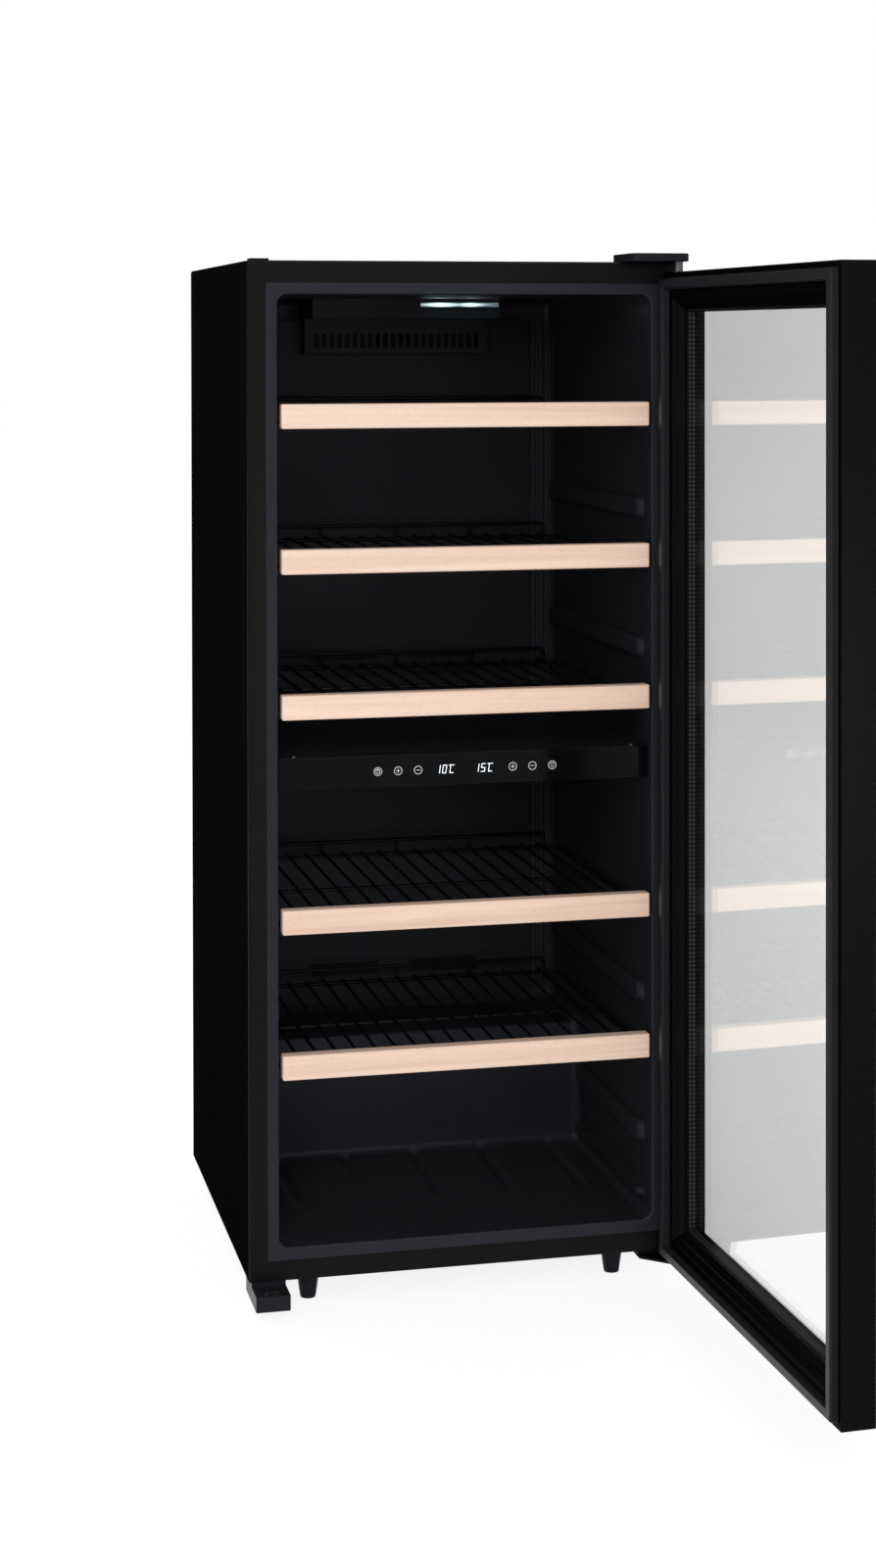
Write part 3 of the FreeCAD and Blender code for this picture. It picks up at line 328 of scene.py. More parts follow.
def dress(node, finish):
    """A piece whose shape is right already takes its finish as it is."""
    nodes[node].data.materials.clear()
    nodes[node].data.materials.append(finish)


def eased(name, node, radius, finish):
    """A copy of a node's shape with its triangles merged and its crisp edges rounded."""
    form = bmesh.new()
    form.from_mesh(nodes[node].data)
    bmesh.ops.remove_doubles(form, verts=form.verts, dist=1e-6)
    bmesh.ops.dissolve_limit(form, angle_limit=math.radians(1), verts=form.verts,
                             edges=form.edges)
    bodies = frame["record"]["behaviour"]["bodies"]
    home = next(body for body, members in bodies.items() if node in members)
    piece = finished(name, form, home, finish)
    soft = piece.modifiers.new("eased_edges", "BEVEL")
    soft.width = radius
    soft.segments = 2
    soft.limit_method = "ANGLE"
    soft.angle_limit = math.radians(40)
    piece.modifiers.move(len(piece.modifiers) - 1, 0)
    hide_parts(node)
    return piece


def zinc_sheet():
    material, place = start_finish("zinc_sheet")
    spangle = place.node("TexVoronoi", (), {"Vector": place, "Scale": 90.0}, out="Color")
    level = place.node("SeparateColor", (), {0: spangle})
    colour = blend_colours(level, (0.5, 0.51, 0.52, 1), (0.66, 0.67, 0.68, 1))
    return end_finish(material, place.node("BsdfPrincipled", (), {
        "Base Color": colour, "Metallic": 1.0, "Roughness": level * 0.14 + 0.34}))


def foam():
    material, place = start_finish("poured_foam")
    cells = place.node("TexVoronoi", (), {"Vector": place, "Scale": 380.0})
    bump = cells.node("Bump", (), {"Height": cells, "Strength": 0.4, "Distance": 0.001})
    colour = blend_colours(cells, (0.72, 0.6, 0.36, 1), (0.84, 0.76, 0.54, 1))
    return end_finish(material, place.node("BsdfPrincipled", (), {
        "Base Color": colour, "Roughness": 0.85, "Normal": bump}))


zinc = zinc_sheet()
eased("back_sheet", "back_panel", SHEET_EDGE, shell_paint)
eased("louvred_grille", "bay_grille", SHEET_EDGE, shell_paint)
eased("floor_sheet", "base_plate", SHEET_EDGE, shell_paint)
dress("machine_room", zinc)
dress("insulation", foam())


# ---- Liner: black polystyrene drawn in one piece, with the front flange, the shelf
# rails, the step over the compressor and the bottle channels in its floor. The draw
# leaves every corner rounded and a soft sheen on the flat walls.
def moulded_black(name, tone, roughness, gloss, texture=0.08):
    material, place = start_finish(name)
    flow = place.node("TexNoise", (), {"Vector": place, "Scale": 9.0, "Detail": 4.0})
    pits = place.node("TexNoise", (), {"Vector": place, "Scale": 900.0, "Detail": 2.0})
    bump = pits.node("Bump", (), {"Height": pits, "Strength": texture, "Distance": 0.0003})
    colour = blend_colours(flow, (tone, tone * 1.04, tone * 1.25, 1),
                           (tone * 1.25, tone * 1.3, tone * 1.6, 1))
    return end_finish(material, place.node("BsdfPrincipled", (), {
        "Base Color": colour, "Roughness": flow * 0.1 + (roughness - 0.05),
        "Specular IOR Level": gloss, "Specular Tint": (0.82, 0.87, 1.0, 1), "Normal": bump}))


liner_low, liner_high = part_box("inner_liner")
FLANGE_SIDE = 0.014
FLANGE_BELOW = 0.0149
FLANGE_ABOVE = 0.0136
LINER_REAR_WALL = 0.002
STEP_DEEP = 0.135
STEP_TALL = 0.165
CAVITY_X = liner_high.x - FLANGE_SIDE
CAVITY_LOW = liner_low.z + FLANGE_BELOW
CAVITY_HIGH = liner_high.z - FLANGE_ABOVE
CAVITY_REAR = liner_high.y - LINER_REAR_WALL
CAVITY_FRONT = liner_low.y
STEP_FRONT = CAVITY_REAR - STEP_DEEP
STEP_TOP = CAVITY_LOW + STEP_TALL
CORNER = 0.013
NOSE = 0.004
LIP_ROUND = 0.0022
DRAWN_WALL = 0.0019
PAD_RISE = 0.0032
CHANNEL_PITCH = 0.093
CHANNEL_HALF = 0.012
CHANNEL_DEEP = 0.0045
CHANNEL_START = CAVITY_FRONT + 0.10
CHANNEL_FULL = CAVITY_FRONT + 0.20
FLOOR_CUTS = 11
FLOOR_CUT_PITCH = 0.012
DECK_DROP = 0.022
RAIL_OUT = 0.008
RAIL_ROOT = 0.001
RAIL_DRAFT = 0.002
RAIL_LEAD = 0.009
RAIL_END = 0.008
RAIL_CREST = 0.003
RAIL_START = 0.03
SUPPORT_TALL = 0.012
SUPPORT_BELOW_DECK = 0.0025
GUIDE_TALL = 0.027
GUIDE_ABOVE_DECK = 0.077
LOW_GUIDE_BELOW_DECK = 0.099
FLOOR_RAIL = (0.017, 0.029)
RIB_PLACES = (0.1985, 0.2065, 0.218, 0.226)
RIB_ROUND = 0.0034
RIB_SUNK = 0.0005
RIB_ABOVE_STEP = 0.02
RIB_BELOW_CEILING = 0.03
shelf_tops = [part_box("shelf_%d_front" % k)[1].z for k in range(1, 6)]

liner_plastic = moulded_black("liner_plastic", 0.014, 0.3, 0.5)


def floor_dip(x, y):
    """How far the floor lies below its front edge: pads, with rounded channels between."""
    along = min(max((y - CHANNEL_START) / (CHANNEL_FULL - CHANNEL_START), 0), 1)
    middle = round(x / CHANNEL_PITCH) * CHANNEL_PITCH
    off = abs(x - middle) / CHANNEL_HALF
    across = 0.5 + 0.5 * math.cos(math.pi * off) if off < 1 else 0
    return (CHANNEL_DEEP * across - PAD_RISE) * along * along * (3 - 2 * along)


def liner_shape():
    form = bmesh.new()
    outline = [(CAVITY_FRONT, CAVITY_LOW), (STEP_FRONT, CAVITY_LOW), (STEP_FRONT, STEP_TOP),
               (CAVITY_REAR, STEP_TOP), (CAVITY_REAR, CAVITY_HIGH), (CAVITY_FRONT, CAVITY_HIGH)]
    side = form.faces.new([form.verts.new((-CAVITY_X, y, z)) for y, z in outline])
    grown = bmesh.ops.extrude_face_region(form, geom=[side])["geom"]
    moved = [part for part in grown if isinstance(part, bmesh.types.BMVert)]
    bmesh.ops.translate(form, vec=(2 * CAVITY_X, 0, 0), verts=moved)
    bmesh.ops.recalc_face_normals(form, faces=form.faces)
    bmesh.ops.reverse_faces(form, faces=form.faces)
    mouth = [face for face in form.faces
             if all(abs(vert.co.y - CAVITY_FRONT) < 1e-6 for vert in face.verts)]
    bmesh.ops.delete(form, geom=mouth, context="FACES_ONLY")
    nose = [edge for edge in form.edges if all(
        abs(vert.co.y - STEP_FRONT) + abs(vert.co.z - STEP_TOP) < 1e-6 for vert in edge.verts)]
    inner = [edge for edge in form.edges if len(edge.link_faces) == 2 and edge not in nose]
    round_edges(form, inner, CORNER, 5)
    nose = [edge for edge in form.edges if edge.calc_length() > CAVITY_X and all(
        abs(vert.co.y - STEP_FRONT) + abs(vert.co.z - STEP_TOP) < 1e-6 for vert in edge.verts)]
    round_edges(form, nose, NOSE, 3)
    parts = [step / 4 for step in range(-4, 5)]
    places = [(k * CHANNEL_PITCH + part * CHANNEL_HALF) for k in range(-2, 3) for part in parts]
    for x in places:
        near = [face for face in form.faces if face.calc_center_median().z
                < CAVITY_LOW + CORNER and abs(face.normal.x) < 0.05]
        cut(form, (x, 0, 0), (1, 0, 0), near)
    for number in range(1, FLOOR_CUTS + 1):
        y = CHANNEL_START - 0.01 + number * FLOOR_CUT_PITCH
        near = [face for face in form.faces if face.calc_center_median().z
                < CAVITY_LOW + 0.001 and abs(face.normal.x) < 0.05]
        cut(form, (0, y, 0), (0, 1, 0), near)
    for vert in form.verts:
        rise = (vert.co.z - CAVITY_LOW) / CORNER
        if rise < 1 and abs(vert.co.x) < CAVITY_X - CORNER - 0.001:
            vert.co.z -= floor_dip(vert.co.x, vert.co.y) * (1 - rise)
    return form


def add_flange(form):
    """The flat front flange, from the mouth's edge out to the shell's return."""
    rim = [edge for edge in form.edges if edge.is_boundary]
    corners = [form.verts.new((x, CAVITY_FRONT, z)) for x, z in (
        (liner_low.x, liner_low.z), (liner_high.x, liner_low.z),
        (liner_high.x, liner_high.z), (liner_low.x, liner_high.z))]
    outer = [form.edges.new(pair) for pair in zip(corners, corners[1:] + corners[:1])]
    filled = bmesh.ops.triangle_fill(form, use_beauty=True, use_dissolve=True,
                                     edges=rim + outer, normal=(0, -1, 0))
    for part in filled["geom"]:
        if isinstance(part, bmesh.types.BMFace) and part.normal.y > 0:
            part.normal_flip()
    lip = [edge for edge in form.edges if len(edge.link_faces) == 2
           and all(abs(vert.co.y - CAVITY_FRONT) < 1e-6 for vert in edge.verts)
           and edge.calc_face_angle() > 1]
    round_edges(form, lip, LIP_ROUND, 3)


def add_rail(form, side, low, high, near, far):
    """A rounded rail on the side wall, drawn out of the sheet."""
    rail = block((CAVITY_X - RAIL_OUT, near, low), (CAVITY_X + RAIL_ROOT, far, high))
    draft = min(RAIL_DRAFT, (high - low) * 0.12)
    for vert in rail.verts:
        if vert.co.x < CAVITY_X:
            vert.co.z += draft if vert.co.z < (low + high) / 2 else -draft
            vert.co.y += RAIL_LEAD if vert.co.y < (near + far) / 2 else 0
    uprights = [edge for edge in rail.edges if abs((edge.verts[0].co - edge.verts[1].co).x)
                > 0.005]
    round_edges(rail, uprights, min(RAIL_END, (high - low) * 0.4), 5)
    crest = [edge for edge in rail.edges
             if all(vert.co.x < CAVITY_X - RAIL_OUT + 0.0005 for vert in edge.verts)]
    round_edges(rail, crest, RAIL_CREST, 3)
    if side < 0:
        bmesh.ops.scale(rail, vec=(-1, 1, 1), verts=rail.verts)
        bmesh.ops.reverse_faces(rail, faces=rail.faces)
    add_shape(form, rail)


def add_shape(form, other):
    """Join one bmesh into another."""
    carrier = bpy.data.meshes.new("carrier")
    other.to_mesh(carrier)
    other.free()
    form.from_mesh(carrier)
    bpy.data.meshes.remove(carrier)


def rod(start, end, radius, sides=16):
    """A round bar between two points."""
    run = Vector(end) - Vector(start)
    form = bmesh.new()
    bmesh.ops.create_cone(form, cap_ends=True, segments=sides, radius1=radius,
                          radius2=radius, depth=run.length)
    bmesh.ops.rotate(form, matrix=run.to_track_quat("Z", "Y").to_matrix(), verts=form.verts)
    bmesh.ops.translate(form, vec=(Vector(start) + Vector(end)) / 2, verts=form.verts)
    return form


def liner_rails():
    """Lowest and highest z of each rail, and how far back it runs."""
    spans = []
    for top in shelf_tops:
        support = top - DECK_DROP - SUPPORT_BELOW_DECK
        spans.append((support - SUPPORT_TALL, support,
                      STEP_FRONT if support < STEP_TOP else CAVITY_REAR - RAIL_END))
    for top in (shelf_tops[1], shelf_tops[2], shelf_tops[4]):
        high = top - DECK_DROP + GUIDE_ABOVE_DECK
        spans.append((high - GUIDE_TALL, high, CAVITY_REAR - RAIL_END))
    high = shelf_tops[4] - DECK_DROP - LOW_GUIDE_BELOW_DECK
    spans.append((high - GUIDE_TALL, high, STEP_FRONT - RAIL_END))
    low, high = FLOOR_RAIL
    spans.append((CAVITY_LOW + low, CAVITY_LOW + high, STEP_FRONT - RAIL_END))
    return spans


liner = liner_shape()
add_flange(liner)
liner_body = finished("moulded_liner", liner, "cabinet", liner_plastic,
                      sharp=50)
give_wall(liner_body, DRAWN_WALL)
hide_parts("inner_liner")

rails = bmesh.new()
for rail_low, rail_high, rail_back in liner_rails():
    for rail_side in (-1, 1):
        add_rail(rails, rail_side, rail_low, rail_high, CAVITY_FRONT + RAIL_START, rail_back)
for rib_x in RIB_PLACES:
    for rib_side in (-1, 1):
        foot = (rib_side * rib_x, CAVITY_REAR + RIB_SUNK, STEP_TOP + RIB_ABOVE_STEP)
        head = (rib_side * rib_x, CAVITY_REAR + RIB_SUNK, CAVITY_HIGH - RIB_BELOW_CEILING)
        add_shape(rails, rod(foot, head, RIB_ROUND))
finished("liner_rails", rails, "cabinet", liner_plastic)


# ---- Rear air panels, fans and evaporators: each zone's moulded panel hides a bonded
# aluminium plate and a small fan behind its round grille.
def aluminium(name, tone):
    material, place = start_finish(name)
    brushed = place.node("Mapping", (), {"Vector": place, "Scale": (8, 600, 600)})
    lines = place.node("TexNoise", (), {"Vector": brushed, "Scale": 1.0, "Detail": 3.0})
    colour = blend_colours(lines, (tone * 0.85, tone * 0.86, tone * 0.88, 1),
                           (tone, tone * 1.01, tone * 1.03, 1))
    return end_finish(material, place.node("BsdfPrincipled", (), {
        "Base Color": colour, "Metallic": 1.0, "Roughness": lines * 0.2 + 0.25}))


cover_plastic = moulded_black("cover_plastic", 0.009, 0.38, 0.45)
bare_aluminium = aluminium("bare_aluminium", 0.62)
for zone in ("upper", "lower"):
    eased(zone + "_duct_cover", zone + "_air_panel", 0.0012, cover_plastic)
    dress(zone + "_evaporator", bare_aluminium)
    dress(zone + "_fan_frame", cover_plastic)
    dress(zone + "_fan", cover_plastic)


# ---- Ceiling cover and lamp: a moulded ledge with a slotted vent under it. A strip of
# cool white lamps shines through a frosted lens, brightest at two of its lamps.
LAMP_PEAKS = ((0.26, 1), (0.64, 0.8))
LAMP_FALL = 3.4


def lamp_glow():
    material, place = start_finish("lamp_glow")
    low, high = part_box("lamp_lens")
    x = place.node("SeparateXYZ", (), {0: place})
    z = place.node("SeparateXYZ", (), {0: place}, out=2)
    along = (x - low.x) / (high.x - low.x)
    edge = abs(z - (low.z + high.z) / 2) / (high.z - low.z)
    first, second = (top - abs(along - middle) * LAMP_FALL for middle, top in LAMP_PEAKS)
    peaks = along.sum("MAXIMUM", first, second)
    bright = peaks.sum("MAXIMUM", peaks + 0.2 - edge * 1.3, 0.0)
    colour = blend_colours(bright.node("Clamp", (), {"Value": bright}),
                           (0.0, 0.012, 0.02, 1), (0.75, 1.0, 1.0, 1))
    return end_finish(material, place.node("BsdfPrincipled", (), {
        "Base Color": (0.7, 0.85, 0.88, 1), "Roughness": 0.5, "Emission Color": colour,
        "Emission Strength": 1.6}))


def circuit_board():
    material, place = start_finish("circuit_board")
    tracks = place.node("TexBrick", (), {"Vector": place, "Scale": 260.0})
    level = place.node("SeparateColor", (), {0: tracks})
    colour = blend_colours(level, (0.008, 0.05, 0.025, 1), (0.02, 0.12, 0.06, 1))
    return end_finish(material, place.node("BsdfPrincipled", (), {
        "Base Color": colour, "Roughness": 0.4}))


board_finish = circuit_board()
eased("lamp_ledge_and_vent", "ceiling_cover", 0.0008, cover_plastic)
dress("lamp_lens", lamp_glow())
dress("lamp_board", board_finish)
lens_low, lens_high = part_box("lamp_lens")
soft_box("lamp_strip", ((lens_low.x + lens_high.x) / 2, lens_low.y - 0.004,
                        (lens_low.z + lens_high.z) / 2),
         ((lens_low.x + lens_high.x) / 2, lens_low.y - 0.3, lens_low.z - 0.25),
         (0.1, 0.005), 0.02, (0.6, 0.92, 1.0), shine=False)


# ---- Divider and controls: a filled moulding across the cabinet parts the two zones,
# and a strip of black glass on its front carries six touch marks and two number
# displays, lit from behind.
def black_glass():
    material, place = start_finish("black_glass")
    smear = place.node("TexNoise", (), {"Vector": place, "Scale": 14.0, "Detail": 5.0,
                                        "Distortion": 0.8})
    colour = blend_colours(smear, (0.0012, 0.0012, 0.0016, 1), (0.003, 0.003, 0.004, 1))
    return end_finish(material, place.node("BsdfPrincipled", (), {
        "Base Color": colour, "Roughness": smear * 0.1 + 0.02,
        "Specular IOR Level": 0.36}))


def lit_mark(name, colour, strength):
    material, place = start_finish(name)
    flicker = place.node("TexNoise", (), {"Vector": place, "Scale": 600.0})
    glow = blend_colours(flicker, tuple(part * 0.85 for part in colour) + (1,), colour + (1,))
    return end_finish(material, place.node("BsdfPrincipled", (), {
        "Base Color": (0.3, 0.3, 0.3, 1), "Roughness": 0.5, "Emission Color": glow,
        "Emission Strength": strength}))


glass_low, glass_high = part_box("control_glass")
PANEL_FACE = glass_low.y
PANEL_MIDDLE = (glass_low.z + glass_high.z) / 2
MARK_RADIUS = 0.0052
MARK_LINE = 0.0007
MARK_PROUD = 0.0001
KEY_PLACES = {"power": -0.1104, "raise_left": -0.085, "lower_left": -0.06,
              "raise_right": 0.06, "lower_right": 0.085, "lamp": 0.1104}


def tile(x0, x1, z0, z1, lean=0.0):
    """A thin printed bar on the panel; lean tips its upper end to the right."""
    form = block((x0, PANEL_FACE - MARK_PROUD, z0), (x1, PANEL_FACE, z1))
    for vert in form.verts:
        vert.co.x += (vert.co.z - PANEL_MIDDLE) * lean
    return form


def mark_ring(x, z, radius, line):
    """A thin printed ring on the panel."""
    form = bmesh.new()
    bmesh.ops.create_circle(form, cap_ends=True, segments=32, radius=radius)
    bmesh.ops.inset_region(form, faces=list(form.faces), thickness=line, use_boundary=True)
    centre = [face for face in form.faces if face.calc_center_median().length < line / 4]
    bmesh.ops.delete(form, geom=centre, context="FACES")
    grown = bmesh.ops.extrude_face_region(form, geom=list(form.faces))["geom"]
    raised = [part for part in grown if isinstance(part, bmesh.types.BMVert)]
    bmesh.ops.translate(form, vec=(0, 0, MARK_PROUD), verts=raised)
    bmesh.ops.recalc_face_normals(form, faces=form.faces)
    bmesh.ops.rotate(form, matrix=Matrix.Rotation(math.pi / 2, 3, "X"), verts=form.verts)
    bmesh.ops.translate(form, vec=(x, PANEL_FACE, z), verts=form.verts)
    return form


marks = bmesh.new()
half_line = MARK_LINE / 2
arm = MARK_RADIUS * 0.5
for key, key_x in KEY_PLACES.items():
    add_shape(marks, mark_ring(key_x, PANEL_MIDDLE, MARK_RADIUS, MARK_LINE))
    if "raise" in key or "lower" in key:
        add_shape(marks, tile(key_x - arm, key_x + arm, PANEL_MIDDLE - half_line,
                              PANEL_MIDDLE + half_line))
    if "raise" in key:
        for end in (-1, 1):
            low, high = sorted((PANEL_MIDDLE + end * half_line, PANEL_MIDDLE + end * arm))
            add_shape(marks, tile(key_x - half_line, key_x + half_line, low, high))
    if key == "power":
        add_shape(marks, mark_ring(key_x, PANEL_MIDDLE, MARK_RADIUS * 0.56, MARK_LINE))
        add_shape(marks, tile(key_x - half_line, key_x + half_line, PANEL_MIDDLE,
                              PANEL_MIDDLE + MARK_RADIUS * 0.8))
    if key == "lamp":
        bulb = PANEL_MIDDLE + MARK_RADIUS * 0.12
        add_shape(marks, mark_ring(key_x, bulb, MARK_RADIUS * 0.46, MARK_LINE * 0.7))
        add_shape(marks, tile(key_x - half_line * 2, key_x + half_line * 2,
                              bulb - MARK_RADIUS * 0.68, bulb - MARK_RADIUS * 0.55))
finished("touch_marks", marks, "cabinet",
         lit_mark("mark_light", (0.72, 0.74, 0.78), 0.6))

DIGIT_WIDE = 0.0052
DIGIT_TALL = 0.0104
DIGIT_LINE = 0.00085
DIGIT_LEAN = 0.14
DIGIT_BARS = {"1": "bc", "0": "abcdef", "5": "acdfg", "C": "adef"}
DIGIT_PLACES = (-0.0102, -0.0022, 0.0072)
DISPLAYS = ((-0.0245, "10C"), (0.0245, "15C"))
DEGREE_LEFT = 0.0026
DEGREE_RIGHT = 0.0052


def digit(form, x, sign):
    """A seven-bar number; the bars are named a to g clockwise from the top, g across."""
    half, tall, line, gap = DIGIT_WIDE / 2, DIGIT_TALL / 2, DIGIT_LINE, DIGIT_LINE * 0.2
    z = PANEL_MIDDLE
    level = {"a": tall - line, "g": -line / 2, "d": -tall}
    for bar in DIGIT_BARS[sign]:
        if bar in level:
            add_shape(form, tile(x - half + gap, x + half - gap, z + level[bar],
                                 z + level[bar] + line, DIGIT_LEAN))
        else:
            left = x + (half - line if bar in "bc" else -half)
            low, high = (0, tall) if bar in "bf" else (-tall, 0)
            add_shape(form, tile(left, left + line, z + low + gap, z + high - gap, DIGIT_LEAN))


numbers = bmesh.new()
for display_x, signs in DISPLAYS:
    for place_x, sign in zip(DIGIT_PLACES, signs):
        digit(numbers, display_x + place_x, sign)
    degree_z = PANEL_MIDDLE + DIGIT_TALL / 2 - DIGIT_LINE
    add_shape(numbers, tile(display_x + DEGREE_LEFT, display_x + DEGREE_RIGHT, degree_z,
                            degree_z + DIGIT_LINE, DIGIT_LEAN))
finished("display_numbers", numbers, "cabinet",
         lit_mark("number_light", (0.86, 0.95, 1.0), 1.5))
eased("control_strip", "control_glass", 0.0007, black_glass())
eased("control_tray", "control_housing", 0.0006, cover_plastic)
eased("zone_divider", "divider", 0.002, liner_plastic)
dress("control_board", board_finish)


# ---- Shelves: a grid of welded wire, dipped black, with a bent wire at the back that
# stops the bottles. The beech bar along the front is planed, sanded and varnished, and
# held by two screws through each tab of the grid.
def beech():
    material, place = start_finish("beech")
    long_way = place.node("Mapping", (), {"Vector": place, "Scale": (1.6, 50, 75)})
    growth = place.node("TexNoise", (), {"Vector": long_way, "Scale": 1.0, "Detail": 6.0,
                                         "Roughness": 0.62, "Distortion": 0.5})
    fine = place.node("Mapping", (), {"Vector": place, "Scale": (30, 900, 1300)})
    fibre = place.node("TexNoise", (), {"Vector": fine, "Scale": 1.0, "Detail": 3.0})
    dash = place.node("Mapping", (), {"Vector": place, "Scale": (260, 1900, 1900)})
    pore = place.node("TexNoise", (), {"Vector": dash, "Scale": 1.0, "Detail": 1.0})
    flecks = place.node("MapRange", (), {"Value": pore, "From Min": 0.62, "From Max": 0.74})
    contrast = place.node("MapRange", (), {"Value": growth, "From Min": 0.34, "From Max": 0.68})
    board = blend_colours(contrast, (0.84, 0.65, 0.54, 1), (0.67, 0.465, 0.36, 1))
    fibred = blend_colours(fibre * 0.35, board, (0.62, 0.42, 0.31, 1))
    colour = blend_colours(flecks * 0.42, fibred, (0.42, 0.24, 0.15, 1))
    bump = flecks.node("Bump", (), {"Height": fibre * 0.5 - flecks, "Strength": 0.12,
                                    "Distance": 0.0003})
    return end_finish(material, place.node("BsdfPrincipled", (), {
        "Base Color": colour, "Roughness": fibre * 0.15 + 0.42, "Specular IOR Level": 0.35,
        "Coat Weight": 0.12, "Coat Roughness": 0.3, "Normal": bump}))


def screw_head(seat, inward, radius, tall):
    """A domed head with a round socket in it; inward points down its shank."""
    form = bmesh.new()
    bmesh.ops.create_cone(form, cap_ends=True, segments=20, radius1=radius,
                          radius2=radius * 0.72, depth=tall)
    crown = [edge for edge in form.edges if all(vert.co.z > 0 for vert in edge.verts)]
    round_edges(form, crown, tall * 0.4, 2)
    bmesh.ops.translate(form, vec=(0, 0, tall / 2), verts=form.verts)
    top = [face for face in form.faces if face.normal.z > 0.99]
    bmesh.ops.inset_region(form, faces=top, thickness=radius * 0.3)
    bmesh.ops.translate(form, vec=(0, 0, -tall * 0.35),
                        verts=list({vert for face in top for vert in face.verts}))
    bmesh.ops.rotate(form, matrix=(-Vector(inward)).to_track_quat("Z", "Y").to_matrix(),
                     verts=form.verts)
    bmesh.ops.translate(form, vec=seat, verts=form.verts)
    return form


def plated_steel():
    material, place = start_finish("plated_steel")
    worn = place.node("TexNoise", (), {"Vector": place, "Scale": 350.0, "Detail": 2.0})
    colour = blend_colours(worn, (0.5, 0.5, 0.51, 1), (0.7, 0.7, 0.71, 1))
    return end_finish(material, place.node("BsdfPrincipled", (), {
        "Base Color": colour, "Metallic": 1.0, "Roughness": worn * 0.2 + 0.22}))


wood = beech()
screw_steel = plated_steel()
dipped_wire = satin_black("dipped_wire", 0.0024, 0.24, 0.5, 0.05, 0)
WOOD_ARRIS = 0.0022
TAB_X = 0.165
TAB_SCREW_OFF = 0.005
TAB_THICK = 0.0016
TAB_SCREW_RISE = 0.0046
SCREW_ROUND = 0.0028
SCREW_TALL = 0.0016
for number in range(1, 6):
    front_node = "shelf_%d_front" % number
    shelf = "shelf_%d" % number
    wood_low, wood_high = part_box(front_node)
    bar = block(wood_low, wood_high)
    round_edges(bar, list(bar.edges), WOOD_ARRIS, 4)
    wood_front = finished(shelf + "_beech_front", bar, shelf, wood, sharp=60)
    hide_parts(front_node)
    heads = bmesh.new()
    level = wood_high.z - DECK_DROP
    for side in (-1, 1):
        for off in (-TAB_SCREW_OFF, TAB_SCREW_OFF):
            seat = (side * TAB_X + off, wood_high.y + TAB_THICK, level + TAB_SCREW_RISE)
            add_shape(heads, screw_head(seat, (0, -1, 0), SCREW_ROUND, SCREW_TALL))
    finished(shelf + "_screws", heads, shelf, screw_steel)
    dress(shelf + "_deck", dipped_wire)


# ---- Door: a satin black frame mitred at its corners, a splayed bead that holds the
# double glazing, and a soft magnetic gasket pushed into a groove round the inside.
# It is shaped shut and then turned about its hinge to where it stands open.
swing = next(joint for joint in frame["joints"] if joint["name"] == "door_swing")
HINGE = Vector(swing["pos_m"])
DOOR_OPEN = math.radians(92)
DOOR_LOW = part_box("door_frame")[0].z
DOOR_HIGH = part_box("door_frame")[1].z
DOOR_GAP = 0.0095
DOOR_INNER = shell_low.y - DOOR_GAP
FRAME_ROUND = 0.0012
BEAD_ROUND = 0.0004
GASKET_ROUND = 0.0003
HOLES_PER_METRE = 190
HOLE_SIZE = 0.28
turn_open = (Matrix.Translation(HINGE) @ Matrix.Rotation(DOOR_OPEN, 4, "Z")
             @ Matrix.Translation(-HINGE))


def mitred_ring(outline):
    """One profile carried round the door; each point is its inset and its depth, in mm."""
    form = bmesh.new()
    loops = []
    for sx, sz, x, z in ((1, 1, shell_low.x, DOOR_LOW), (-1, 1, shell_high.x, DOOR_LOW),
                         (-1, -1, shell_high.x, DOOR_HIGH), (1, -1, shell_low.x, DOOR_HIGH)):
        verts = [form.verts.new((x + sx * inset / 1000, DOOR_INNER - depth / 1000,
                                 z + sz * inset / 1000)) for inset, depth in outline]
        loops.append([form.edges.new(pair) for pair in zip(verts, verts[1:] + verts[:1])])
    for one, other in zip(loops, loops[1:] + loops[:1]):
        bmesh.ops.bridge_loops(form, edges=one + other)
    bmesh.ops.recalc_face_normals(form, faces=form.faces)
    return form


def lengthwise(form):
    """The edges that run along the door's sides, where its profile turns a corner."""
    return [edge for edge in form.edges if edge.calc_face_angle() > 0.3
            and max(abs(part) for part in
                    (edge.verts[0].co - edge.verts[1].co).normalized()) > 0.999]


def swung(form):
    bmesh.ops.transform(form, matrix=turn_open, verts=form.verts)
    return form


def rubber():
    material, place = start_finish("gasket_rubber")
    dusty = place.node("TexNoise", (), {"Vector": place, "Scale": 45.0, "Detail": 4.0})
    colour = blend_colours(dusty, (0.009, 0.0095, 0.012, 1), (0.015, 0.0155, 0.019, 1))
    skin = place.node("TexNoise", (), {"Vector": place, "Scale": 1400.0})
    bump = skin.node("Bump", (), {"Height": skin, "Strength": 0.1, "Distance": 0.0002})
    return end_finish(material, place.node("BsdfPrincipled", (), {
        "Base Color": colour, "Roughness": dusty * 0.12 + 0.4, "Normal": bump}))


def clear_glass(name, facing, slope):
    """A pane that mirrors more the flatter it is seen; its coating sets how much."""
    material, place = start_finish(name)
    slant = place.node("LayerWeight", (), {"Blend": 0.5}, out="Facing")
    mirror = slant ** slope * (0.97 - facing) + facing
    through = place.node("BsdfTransparent", (), {"Color": (0.995, 1.0, 0.998, 1)})
    back = place.node("BsdfGlossy", (), {"Color": (1, 1, 1, 1), "Roughness": 0.0})
    return end_finish(material, mirror.node("MixShader", (), {0: mirror, 1: through, 2: back}))


